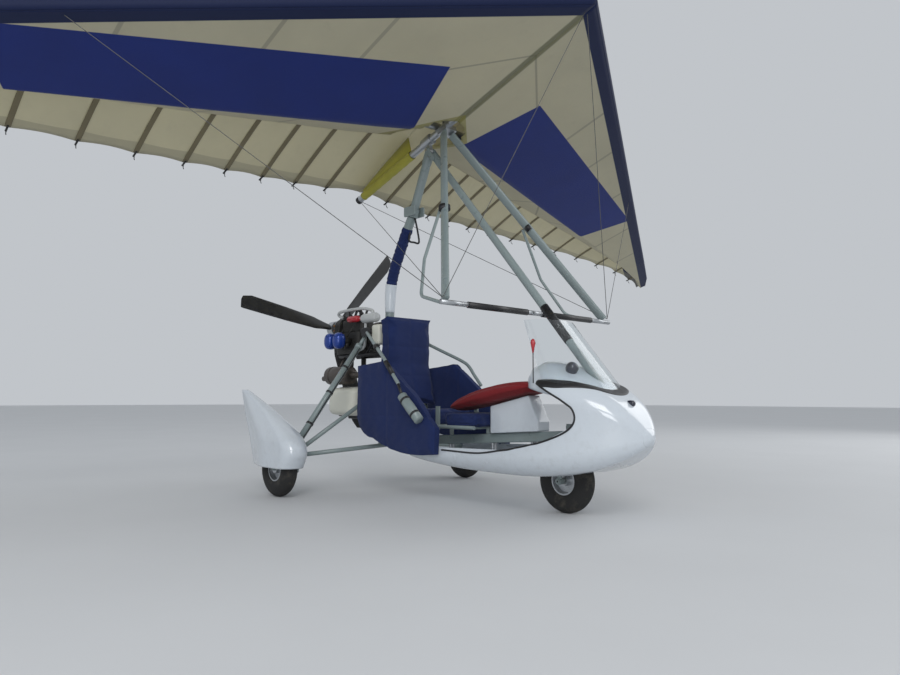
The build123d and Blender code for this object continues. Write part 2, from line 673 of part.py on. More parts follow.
blade_sections = (  # share of the radius, share of the chord, thickness, extra pitch
    (0.0, 0.42, 34.0, 22.0),
    (0.30, 0.86, 22.0, 12.0),
    (0.60, 1.00, 14.0, 4.0),
    (0.99, 0.74, 7.0, -4.0),
)
with BuildPart() as prop_blades:
    for blade in range(PROP_BLADES):
        angle = radians(PROP_PHASE + 360 / PROP_BLADES * blade)
        out = Vector(0, cos(angle), sin(angle))
        for share, chord, thick, extra in blade_sections:
            pitch = radians(BLADE_PITCH + extra)
            tangent = Vector(0, -sin(angle), cos(angle))
            along = tangent * cos(pitch) + Vector(1, 0, 0) * sin(pitch)
            reach = max(PROP_R * share, PROP_HUB_R + SEAT_GAP)
            centre = Vector(REAR_X + PROP_FORWARD, 0, PROP_Z) + out * reach
            with BuildSketch(Plane(origin=centre, x_dir=along, z_dir=out)):
                Ellipse(BLADE_CHORD * chord / 2, thick / 2)
        loft(ruled=True)
save(prop_blades, "prop_blades")


# Hang bracket: a sleeve that turns on the keel, with a lug for the hang bolt
hang_s = -NOSE_AFT_OF_HANG
with BuildPart() as hang_bracket:
    rod(wing(hang_s - 45, 0, 0), wing(hang_s + 45, 0, 0), KEEL_R + 12)
    lug_plane = Plane(origin=(HANG_X, 14, HANG_Z), x_dir=KEEL_AFT, z_dir=(0, -1, 0))
    with BuildSketch(lug_plane):
        with Locations((0, -KEEL_DROP / 2)):
            Rectangle(36, KEEL_DROP)
        Circle(18)
    extrude(amount=28)
    rod(wing(hang_s - 60, 0, 0), wing(hang_s + 60, 0, 0), KEEL_R + AXLE_GAP, mode=Mode.SUBTRACT)
    rod((HANG_X, -20, HANG_Z), (HANG_X, 20, HANG_Z), HANG_BOLT_R + PIN_GAP, mode=Mode.SUBTRACT)
save(hang_bracket, "hang_bracket")

with BuildPart() as hang_bolt:
    rod((HANG_X, -36.3, HANG_Z), (HANG_X, 44, HANG_Z), HANG_BOLT_R)
    rod((HANG_X, -36.3, HANG_Z), (HANG_X, -44, HANG_Z), HANG_BOLT_R + 5)
    rod((HANG_X, 36.3, HANG_Z), (HANG_X, 44, HANG_Z), HANG_BOLT_R + 5)
save(hang_bolt, "hang_bolt")


# Wing frame: keel, leading edge tubes, crossbar and kingpost
SWEEP = 0.575
LE_CENTRE = 37.0
CROSSBAR_Y = 2440.0
LE_END_Y = 4000.0
spar_cos = 1 / sqrt(1 + SWEEP ** 2)
bar_corner = (REAR_X + BAR_FORWARD, BAR_HALF, BAR_Z)
apex_x = REAR_X + APEX_FORWARD
apex_s = hang_s - (apex_x - KEEL_OVER_HANG[0]) / cos(radians(KEEL_SLOPE))
with BuildPart() as wing_keel:
    rod(wing(LE_CENTRE + 20, 0, 0), wing(KEEL_LENGTH, 0, 0), KEEL_R)
    rod(wing(LE_CENTRE, 0, 0), wing(KEEL_LENGTH + 20, 0, 0), KEEL_R - KEEL_WALL, mode=Mode.SUBTRACT)
save(wing_keel, "wing_keel")

with BuildPart() as keel_fittings:
    saddle = Plane(origin=wing(apex_s, 0, -APEX_DROP), x_dir=KEEL_AFT, z_dir=KEEL_UP)
    with BuildSketch(saddle):
        Rectangle(90, 104)
    extrude(amount=APEX_DROP - KEEL_R + 8)
    rod(wing(apex_s - 60, 0, 0), wing(apex_s + 60, 0, 0), KEEL_R + SEAT_GAP, mode=Mode.SUBTRACT)
    nose = Plane(origin=wing(LE_CENTRE, 0, -LE_CENTRE + SAIL_THICK + SEAT_GAP), x_dir=KEEL_AFT, z_dir=KEEL_UP)
    with BuildSketch(nose):
        Polygon((20, -14), (115, -110), (115, 110), (20, 14), align=None)
    extrude(amount=LE_CENTRE - SAIL_THICK - KEEL_R - 2 * SEAT_GAP)
save(keel_fittings, "keel_fittings")

with BuildPart() as leading_edges:
    for side in (-1, 1):
        rod(wing(LE_CENTRE + SWEEP * 75, side * 75, 0), wing(LE_CENTRE + SWEEP * LE_END_Y, side * LE_END_Y, 0), SPAR_R, KEEL_WALL)
save(leading_edges, "leading_edges")

cross_over = KEEL_R + CROSSBAR_R + SEAT_GAP
cross_s = LE_CENTRE + SWEEP * CROSSBAR_Y + (SPAR_R + CROSSBAR_R + SEAT_GAP) / spar_cos
with BuildPart() as crossbar:
    for side in (-1, 1):
        rod(wing(cross_s - 60, 0, cross_over), wing(cross_s, side * CROSSBAR_Y, 0), CROSSBAR_R)
save(crossbar, "crossbar")

with BuildPart() as kingpost:
    rod(wing(apex_s, 0, KEEL_R + SEAT_GAP), wing(apex_s, 0, KEEL_R + KINGPOST_LENGTH), KINGPOST_R)
save(kingpost, "kingpost")


# Sail: each half is one skin that wraps the leading edge and runs back as an undersurface
sail_stations = (  # y, leading edge s, trailing edge s, trailing edge n, crest n, nose radius
    (0, 0, 2400, 60, 225, 37),
    (450, 259, 2480, 60, 220, 37),
    (1600, 920, 2590, 85, 185, 37),
    (2900, 1668, 2680, 110, 150, 37),
    (4000, 2300, 2760, 90, 100, 37),
    (4600, 2650, 2880, 60, 66, 20),
    (4850, 2840, 2970, 36, 40, 9),
)
LOWER_FLAT = 0.56
CREST_SHARE = 0.30


def sail_section(side, y, lead, trail, trail_n, crest_n, radius):
    """Draw one station of the skin on its own plane."""
    chord = trail - lead
    crest_s = lead + CREST_SHARE * chord
    curve = ((trail - crest_s) ** 2 + (crest_n - trail_n) ** 2) / (2 * (crest_n - trail_n))
    rear_s = lead + DOUBLE_SHARE * chord
    rear_n = crest_n - curve + sqrt(curve ** 2 - (rear_s - crest_s) ** 2) - 2 * SAIL_THICK - 3
    flat_s = lead + LOWER_FLAT * chord
    low = -radius
    skin = min(SAIL_THICK, radius * 0.4)
    plane = Plane(origin=wing(0, side * y, 0), x_dir=KEEL_AFT, z_dir=(0, 1, 0))
    with BuildSketch(plane) as section:
        with BuildLine() as outline:
            TangentArc((crest_s, crest_n), (trail, trail_n), tangent=(1, 0))
            TangentArc((crest_s, crest_n), (lead + radius, radius), tangent=(-1, 0))
            ThreePointArc((lead + radius, radius), (lead, 0), (lead + radius, -radius))
            Line((lead + radius, low), (flat_s, low))
            Line((flat_s, low), (rear_s, rear_n))
            Line((rear_s, rear_n), (rear_s, rear_n + skin))
            Line((rear_s, rear_n + skin), (flat_s, low + skin))
            Line((flat_s, low + skin), (lead + radius, low + skin))
            ThreePointArc((lead + radius, skin - radius), (lead + skin, 0), (lead + radius, radius - skin))
            TangentArc((crest_s, crest_n - skin), (lead + radius, radius - skin), tangent=(-1, 0))
            TangentArc((crest_s, crest_n - skin), (trail, trail_n - skin), tangent=(1, 0))
            Line((trail, trail_n - skin), (trail, trail_n))
        make_face()
    return section.sketch


for side, name in ((1, "left"), (-1, "right")):
    stations = [sail_section(side, *row) for row in sail_stations]
    with BuildPart() as sail:
        loft(stations, ruled=True)
        with BuildSketch(Plane(origin=wing(hang_s, 0, -90), x_dir=KEEL_AFT, z_dir=KEEL_UP)):
            Ellipse(290, 200)
        extrude(amount=130, mode=Mode.SUBTRACT)
        rod(wing(apex_s, 0, 0), wing(apex_s, 0, 400), KINGPOST_R + 2, mode=Mode.SUBTRACT)
        rod(wing(apex_s, 0, -200), wing(apex_s, 0, -20), 70, mode=Mode.SUBTRACT)
    save(sail, f"sail_{name}")


# Control frame: two streamlined downtubes, the bar between them and the training bars
apex_low = -APEX_DROP - SEAT_GAP - 8.4
with BuildPart() as downtubes:
    for side in (-1, 1):
        top = wing(apex_s, side * 38, apex_low)
        corner = (bar_corner[0], side * bar_corner[1], bar_corner[2])
        reach = (Vector(*corner) - Vector(*top)).length
        low = between(top, corner, 1 - (BAR_R + SEAT_GAP + 8.5) / reach)
        with BuildSketch(Plane(origin=top, x_dir=KEEL_AFT, z_dir=Vector(*low) - Vector(*top))):
            Ellipse(DOWNTUBE_CHORD / 2, DOWNTUBE_THICK / 2)
        extrude(amount=(Vector(*low) - Vector(*top)).length)
save(downtubes, "downtubes")

with BuildPart() as control_bar:
    rod((bar_corner[0], -BAR_HALF - 34, BAR_Z), (bar_corner[0], BAR_HALF + 34, BAR_Z), BAR_R)
save(control_bar, "control_bar")

with BuildPart() as training_bars:
    for side in (-1, 1):
        top = wing(apex_s, side * 38, apex_low)
        corner = (bar_corner[0], side * bar_corner[1], bar_corner[2])
        stops = []
        for share, aft in ((0.50, 41.7), (0.72, 190), (0.90, 215), (0.985, 45)):
            spot = Vector(*between(top, corner, share)) + Vector(*KEEL_AFT) * aft
            stops.append(tuple(spot))
        bent_tube(stops, 10, 80)
save(training_bars, "training_bars")


# Stays: straight wires from the bar's corners and the kingpost to the wing frame
with BuildPart() as rigging_lower:
    for side in (-1, 1):
        corner = (bar_corner[0], side * (bar_corner[1] + 20), bar_corner[2] + BAR_R + STAY_R + 8)
        rod(corner, wing(cross_s - 40, side * CROSSBAR_Y, -LE_CENTRE - 1.5), STAY_R)
        rod(corner, wing(LE_CENTRE + 60, side * 12, -LE_CENTRE - 1.5), STAY_R)
        rod(corner, wing(KEEL_LENGTH - 30, side * 12, -KEEL_R - 2), STAY_R)
save(rigging_lower, "rigging_lower")

with BuildPart() as rigging_upper:
    post_top = KEEL_R + KINGPOST_LENGTH - 10
    tang = KINGPOST_R + 0.6 * STAY_R + SEAT_GAP
    for side in (-1, 1):
        rod(wing(apex_s, side * tang, post_top), wing(cross_s - 20, side * CROSSBAR_Y, 100), STAY_R)
    rod(wing(apex_s - tang, 0, post_top), wing(LE_CENTRE + 30, 0, 70), STAY_R)
    rod(wing(apex_s + tang, 0, post_top), wing(KEEL_LENGTH - 30, 0, KEEL_R + 30), STAY_R)
save(rigging_upper, "rigging_upper")
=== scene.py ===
"""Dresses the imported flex-wing microlight: cloth wing, padded seats, engine and cockpit details, finishes.

Everything is in metres in the part's own frame: X forward, Y left, Z up, the ground at Z = 0.
"""

import math

import bpy
import numpy as np
from bpy.props import FloatProperty, FloatVectorProperty, PointerProperty
from bpy.types import Operator, Panel, PropertyGroup
from mathutils import Matrix, Vector


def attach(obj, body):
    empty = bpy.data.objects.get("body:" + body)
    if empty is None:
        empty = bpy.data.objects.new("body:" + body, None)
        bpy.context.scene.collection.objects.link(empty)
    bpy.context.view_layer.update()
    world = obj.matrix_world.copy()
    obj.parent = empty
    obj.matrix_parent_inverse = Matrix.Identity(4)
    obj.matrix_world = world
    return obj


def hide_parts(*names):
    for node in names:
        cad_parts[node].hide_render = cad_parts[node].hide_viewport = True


bl_info = {
    "name": "Flex-wing microlight",
    "version": (1, 0, 0),
    "blender": (4, 5, 0),
    "location": "View3D > Sidebar > Microlight",
    "description": "Builds the cloth, upholstery, fittings and finishes of a two-seat flex-wing microlight",
    "category": "Add Mesh",
}

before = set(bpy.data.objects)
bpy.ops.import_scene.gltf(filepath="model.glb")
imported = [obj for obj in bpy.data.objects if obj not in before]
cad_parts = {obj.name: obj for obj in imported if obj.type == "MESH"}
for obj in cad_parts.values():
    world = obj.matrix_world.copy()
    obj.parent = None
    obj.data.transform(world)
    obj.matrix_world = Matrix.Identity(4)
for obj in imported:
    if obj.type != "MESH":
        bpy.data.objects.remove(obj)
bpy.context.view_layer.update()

REAR_X = -0.7056  # rear axle
KEEL_SLOPE = math.radians(17.7)
HANG_X = REAR_X + 0.524
HANG_Z = 2.434
KEEL_DROP = 0.078
NOSE_S = 1.557
HALF_SPAN = 4.85
LOWER_SPAN = 4.82  # the lower skin ends just inside the tip
EDGE_R = 0.037  # leading edge tube with its cloth
AFT = np.array([-math.cos(KEEL_SLOPE), 0.0, -math.sin(KEEL_SLOPE)])
UP = np.array([-math.sin(KEEL_SLOPE), 0.0, math.cos(KEEL_SLOPE)])
KEEL_OVER = np.array([HANG_X, 0.0, HANG_Z]) + KEEL_DROP * UP
APEX_S = NOSE_S - (REAR_X + 0.690 - KEEL_OVER[0]) / math.cos(KEEL_SLOPE)
STATIONS = np.array([  # y, leading edge s, trailing edge s, trailing edge n, crest n, nose radius
    (0.000, 0.000, 2.400, 0.060, 0.225, EDGE_R),
    (0.450, 0.259, 2.480, 0.060, 0.220, EDGE_R),
    (1.600, 0.920, 2.590, 0.085, 0.185, EDGE_R),
    (2.900, 1.668, 2.680, 0.110, 0.150, EDGE_R),
    (4.000, 2.300, 2.760, 0.090, 0.100, EDGE_R),
    (4.600, 2.650, 2.880, 0.060, 0.066, 0.020),
    (HALF_SPAN, 2.840, 2.970, 0.036, 0.040, 0.009),
])
CREST_SHARE = 0.30  # share of the chord where the upper skin is highest
DOUBLE_SHARE = 0.72  # share of the chord that the lower skin covers
SWEEP = 0.575  # how far aft the leading edge runs for each metre out
LOWER_FLAT = 0.56  # share of the chord where the lower skin starts to rise
SKIN = 0.005  # thickness of the solid sail
CLOTH = 0.0012
SLEEVE_CLOTH = 0.0015
PROP_X = -0.645
PROP_Z = 1.220
BLADE_PITCH = 22.0  # degrees
AXLE_Z = 0.185
HALF_TRACK = 0.865
BAR_X = REAR_X + 1.493
BAR_Z = 1.172
CYLINDERS = (-0.400, -0.260)
ENGINE_X = -0.330
TANK_PLACE = (-0.230, 0.0, 0.6275)
TANK_SIZE = (0.344, 0.484, 0.215)
TANK_POWER = 6.5
MUFFLER_Y = -0.180
MUFFLER_Z = 0.825
MAST_LINE = ((0.040, 0.371), (0.057, 0.800), (0.074, 1.250), (0.085, 1.470), (0.126, 1.612), (0.188, 1.738),
             (0.280, 1.905), (0.328, 1.984))
STRUT_FOOT = np.array([2.046, 0.0, 0.640])
STRUT_HEAD = np.array([0.524, 0.0, HANG_Z])
SIDES = ((1, "left"), (-1, "right"))
BATTENS = (0.30, 0.56, 0.82, 1.09, 1.38, 1.70, 2.05, 2.43, 2.83, 3.25, 3.68, 4.12, 4.52)


# Geometry helpers

def wing(s, y, n):
    """Place = keel point over the hang bolt + (s - NOSE_S) along AFT + n along UP, y to the left."""
    s, y, n = np.broadcast_arrays(np.asarray(s, float), np.asarray(y, float), np.asarray(n, float))
    place = KEEL_OVER + (s - NOSE_S)[..., None] * AFT + n[..., None] * UP
    place[..., 1] = y
    return place


def at(forward, y, z):
    """Place = the point forward of the rear axle, y left, z up."""
    return np.array([REAR_X + forward, y, z], float)


def unit(v):
    """Vector divided by its length."""
    v = np.asarray(v, float)
    return v / np.maximum(np.linalg.norm(v, axis=-1, keepdims=True), 1e-12)


def put(obj, finish, replaces=(), body="trike"):
    """Give a finished piece its body and its material."""
    obj.data.materials.clear()
    obj.data.materials.append(MATERIALS[finish])
    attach(obj, body)
    if replaces:
        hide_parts(*replaces)
    return obj


def build(name, pieces, finish, replaces=(), body="trike"):
    """Join closed pieces, turn them outwards and finish them as one."""
    return put(outward(join(name, pieces)), finish, replaces, body)


def mesh_object(name, points, faces, uv=None):
    """Make a smooth object at the origin from an N x 3 array and rows of corners."""
    mesh = bpy.data.meshes.new(name)
    mesh.from_pydata(np.asarray(points, float).tolist(), [], [list(f) for f in faces])
    mesh.polygons.foreach_set("use_smooth", np.ones(len(mesh.polygons), bool))
    if uv is not None:
        layer = mesh.uv_layers.new(name="UVMap")
        corners = np.zeros(len(mesh.loops), np.int32)
        mesh.loops.foreach_get("vertex_index", corners)
        layer.data.foreach_set("uv", np.asarray(uv, np.float32)[corners].ravel())
    mesh.update()
    obj = bpy.data.objects.new(name, mesh)
    bpy.context.scene.collection.objects.link(obj)
    return obj


def grid_faces(rows, cols, wrap_rows=False, wrap_cols=False):
    """Corners of the quads of a rows x cols grid, joined round where a direction wraps."""
    r = np.arange(rows if wrap_rows else rows - 1)
    c = np.arange(cols if wrap_cols else cols - 1)
    r, c = np.meshgrid(r, c, indexing="ij")
    r2, c2 = (r + 1) % rows, (c + 1) % cols
    return np.stack([r * cols + c, r * cols + c2, r2 * cols + c2, r2 * cols + c], -1).reshape(-1, 4)


def grid(name, points, wrap_rows=False, wrap_cols=False, uv=None, flip=False, caps=False):
    """Surface through a rows x cols x 3 array; caps close both ends of a ring grid with a fan."""
    rows, cols = points.shape[:2]
    flat = points.reshape(-1, 3)
    faces = grid_faces(rows, cols, wrap_rows, wrap_cols)
    if flip:
        faces = faces[:, ::-1]
    faces = faces.tolist()
    if caps:
        first, last = len(flat), len(flat) + 1
        flat = np.vstack([flat, points[0].mean(0), points[-1].mean(0)])
        ring = np.arange(cols)
        after = (ring + 1) % cols
        faces += np.stack([ring, np.full(cols, first), after], 1).tolist()
        end = (rows - 1) * cols
        faces += np.stack([end + after, np.full(cols, last), end + ring], 1).tolist()
    return mesh_object(name, flat, faces, None if uv is None else uv.reshape(-1, 2))


def rings_solid(name, rings):
    """Closed piece through a stack of rings."""
    return grid(name, np.asarray(rings), wrap_cols=True, caps=True)


def outward(obj):
    """Turn every face of a closed piece outwards."""
    bpy.ops.object.select_all(action="DESELECT")
    bpy.context.view_layer.objects.active = obj
    obj.select_set(True)
    bpy.ops.object.mode_set(mode="EDIT")
    bpy.ops.mesh.select_all(action="SELECT")
    bpy.ops.mesh.normals_make_consistent(inside=False)
    bpy.ops.object.mode_set(mode="OBJECT")
    return obj


def smooth_path(points, samples=40):
    """Uniform Catmull-Rom curve through the points, sampled evenly in its parameter."""
    p = np.asarray(points, float)
    if len(p) == 2:
        t = np.linspace(0, 1, 2)[:, None]
        return p[0] + (p[1] - p[0]) * t
    p = np.vstack([2 * p[0] - p[1], p, 2 * p[-1] - p[-2]])
    n = len(p) - 3
    t = np.linspace(0, n, samples)
    i = np.minimum(t.astype(int), n - 1)
    u = (t - i)[:, None]
    a, b, c, d = p[i], p[i + 1], p[i + 2], p[i + 3]
    return 0.5 * (2 * b + (c - a) * u + (2 * a - 5 * b + 4 * c - d) * u ** 2
                  + (3 * b - a - 3 * c + d) * u ** 3)


def frames_along(path):
    """Unit tangents and two unit normals along a path, carried on without twist."""
    tangents = unit(np.gradient(path, axis=0))
    normal = np.cross(tangents[0], (0, 0, 1.0))
    if np.linalg.norm(normal) < 0.1:
        normal = np.cross(tangents[0], (0, 1.0, 0))
    normals = []
    for tangent in tangents:
        normal = unit(normal - tangent * (normal @ tangent))
        normals.append(normal)
    normals = np.array(normals)
    return tangents, normals, np.cross(tangents, normals)


def tube_points(path, radius, sides=14, flat=1.0):
    """Ring grid: centre line + radius * (cos a * normal + flat * sin a * second normal)."""
    path = np.asarray(path, float)
    radius = np.broadcast_to(np.asarray(radius, float), (len(path),))
    _, first, second = frames_along(path)
    a = np.linspace(0, 2 * math.pi, sides, endpoint=False)
    ring = np.cos(a)[None, :, None] * first[:, None] + flat * np.sin(a)[None, :, None] * second[:, None]
    return path[:, None] + ring * radius[:, None, None]


def tube(name, points, radius, sides=14, samples=40, flat=1.0):
    """Closed round tube along a smooth line through the points."""
    path = smooth_path(points, samples)
    if np.ndim(radius):
        radius = np.interp(np.linspace(0, 1, len(path)), np.linspace(0, 1, len(radius)), radius)
    return rings_solid(name, tube_points(path, radius, sides, flat))


def turned(name, start, end, profile, sides=28):
    """Turned solid: profile rows are (share of the way from start to end, radius)."""
    start, end = np.asarray(start, float), np.asarray(end, float)
    axis = unit(end - start)
    side = unit(np.cross(axis, (0, 0, 1.0) if abs(axis[2]) < 0.9 else (0, 1.0, 0)))
    other = np.cross(axis, side)
    profile = np.asarray(profile, float)
    a = np.linspace(0, 2 * math.pi, sides, endpoint=False)
    centre = start + (end - start) * profile[:, :1]
    ring = np.cos(a)[:, None] * side + np.sin(a)[:, None] * other
    return rings_solid(name, centre[:, None] + ring[None] * profile[:, 1][:, None, None])


def rounded_box(name, centre, size, power=5.0, rows=28, cols=48):
    """Superellipsoid |x/a|^p + |y/b|^p + |z/c|^p = 1."""
    lat = np.linspace(-math.pi / 2, math.pi / 2, rows)[:, None]
    lon = np.linspace(-math.pi, math.pi, cols, endpoint=False)[None]
    x, y, z = np.cos(lat) * np.cos(lon), np.cos(lat) * np.sin(lon), np.sin(lat) * np.ones_like(lon)
    length = (abs(x) ** power + abs(y) ** power + abs(z) ** power) ** (1 / power)
    points = np.stack([x / length, y / length, z / length], -1) * (np.asarray(size) / 2)
    return rings_solid(name, points + np.asarray(centre, float))


def join(name, pieces):
    """Join finished pieces into one object with a name."""
    bpy.ops.object.select_all(action="DESELECT")
    for piece in pieces:
        piece.select_set(True)
    bpy.context.view_layer.objects.active = pieces[0]
    if len(pieces) > 1:
        bpy.ops.object.join()
    pieces[0].name = name
    pieces[0].data.name = name
    return pieces[0]


# Materials

class Nodes:
    """Adds nodes to one material and links them by position."""

    def __init__(self, name):
        self.material = bpy.data.materials.new(name)
        self.material.use_nodes = True
        self.tree = self.material.node_tree
        self.shader = self.tree.nodes["Principled BSDF"]
        self.output = self.tree.nodes["Material Output"]
        self.coords = self.tree.nodes.new("ShaderNodeTexCoord").outputs["Object"]

    def add(self, kind, inputs=(), out=0, **settings):
        """Add a node, set its properties, feed its inputs with values or sockets, give one output."""
        node = self.tree.nodes.new("ShaderNode" + kind)
        for key, value in settings.items():
            setattr(node, key, value)
        for key, value in dict(inputs).items():
            socket = node.inputs[key]
            if isinstance(value, bpy.types.NodeSocket):
                self.tree.links.new(value, socket)
            else:
                socket.default_value = value
        return node.outputs[out]

    def math(self, operation, a, b=0.0, c=0.0, clamp=False):
        """One Math node."""
        return self.add("Math", {0: a, 1: b, 2: c}, operation=operation, use_clamp=clamp)

    def times(self, a, b, clamp=False):
        """Product of two values."""
        return self.math("MULTIPLY", a, b, clamp=clamp)

    def noise(self, scale, detail=4.0, rough=0.55, stretch=None):
        """Noise on the object's coordinates, stretched where three factors are given."""
        vector = self.coords
        if stretch:
            vector = self.add("VectorMath", {0: vector, 1: stretch}, operation="MULTIPLY")
        return self.add("TexNoise", {"Vector": vector, "Scale": scale, "Detail": detail, "Roughness": rough})

    def ramp(self, value, low, high, start=0.0, end=1.0):
        """Map a range to another in a straight line."""
        return self.add("MapRange", {"Value": value, "From Min": start, "From Max": end,
                                     "To Min": low, "To Max": high})

    def mix(self, share, a, b):
        """Mix two colours."""
        node = self.tree.nodes.new("ShaderNodeMix")
        node.data_type = "RGBA"
        for socket, value in ((node.inputs[0], share), (node.inputs[6], a), (node.inputs[7], b)):
            if isinstance(value, bpy.types.NodeSocket):
                self.tree.links.new(value, socket)
            else:
                socket.default_value = value if isinstance(value, float) else (*value[:3], 1.0)
        return node.outputs[2]

    def feed(self, **sockets):
        """Feed the Principled shader's sockets."""
        for key, value in sockets.items():
            socket = self.shader.inputs[key.replace("_", " ")]
            if isinstance(value, bpy.types.NodeSocket):
                self.tree.links.new(value, socket)
            else:
                is_colour = hasattr(value, "__len__") and len(value) == 3
                socket.default_value = (*value, 1.0) if is_colour else value

    def bump(self, height, strength, distance):
        """Link a height to the shader's normal."""
        normal = self.add("Bump", {"Height": height, "Strength": strength, "Distance": distance})
        self.tree.links.new(normal, self.shader.inputs["Normal"])


SOIL = (0.16, 0.14, 0.09)


def shade(colour, factor):
    """A colour made lighter or darker by a factor."""
    return tuple(min(1.0, c * factor) for c in colour[:3])


def paint(name, colour, rough=0.35, metallic=0.0, coat=0.0, spread=0.08, grain=60.0, bump=0.05, dirt=0.0):
    """Painted, moulded or bare hard surface with faint mottling, fine texture and dirt near the ground."""
    n = Nodes(name)
    mottle = n.noise(7.0, 5.0)
    fine = n.noise(grain, 3.0)
    tone = n.mix(mottle, shade(colour, 1.0 - spread), shade(colour, 1.0 + spread))
    if dirt:
        height = n.add("SeparateXYZ", {0: n.coords}, out=2)
        low = n.ramp(height, 1.0, 0.0, 0.15, 0.75)
        specks = n.times(n.ramp(n.noise(26.0, 8.0, 0.7), 0.0, 1.0, 0.5, 0.8), low, clamp=True)
        tone = n.mix(n.times(specks, dirt), tone, SOIL)
    n.feed(Base_Color=tone, Metallic=metallic, Coat_Weight=coat, Coat_Roughness=0.06,
           Roughness=n.ramp(n.noise(18.0, 6.0), max(0.03, rough - 0.1), min(1.0, rough + 0.14), 0.3, 0.75))
    n.bump(fine, bump, 0.0015)
    return n.material


def brushed(name, colour, rough=0.32):
    """Drawn metal tube: bright base with fine streaks across the draw, faint stains."""
    n = Nodes(name)
    streak = n.noise(40.0, 4.0, 0.6, (1.0, 1.0, 30.0))
    stain = n.noise(9.0, 6.0)
    tone = n.mix(stain, shade(colour, 0.80), shade(colour, 1.10))
    n.feed(Base_Color=tone, Metallic=0.9, Roughness=n.ramp(streak, rough - 0.08, rough + 0.16, 0.3, 0.7))
    n.bump(streak, 0.06, 0.0008)
    return n.material


def woven(name, colour, pitch=0.0022, sheen=0.06):
    """Coarse woven cloth: crossing threads as height and tone, faded in patches, with a soft sheen."""
    n = Nodes(name)
    threads = []
    for stretch in ((1.0, 0.35, 1.0), (0.35, 1.0, -1.0)):
        along = n.add("VectorMath", {0: n.coords, 1: stretch}, out=1, operation="DOT_PRODUCT")
        threads.append(n.math("SINE", n.times(along, 2 * math.pi / pitch)))
    weave = n.times(threads[0], threads[1])
    tone = n.mix(n.noise(5.0, 6.0, 0.6), shade(colour, 0.78), shade(colour, 1.22))
    tone = n.mix(n.ramp(weave, 0.0, 0.22, -1.0, 1.0), tone, shade(colour, 0.45))
    n.feed(Base_Color=tone, Roughness=0.88, Sheen_Weight=sheen, Sheen_Roughness=0.45)
    n.bump(n.math("ADD", weave, n.times(n.noise(14.0, 5.0), 3.0)), 0.35, 0.0006)
    return n.material


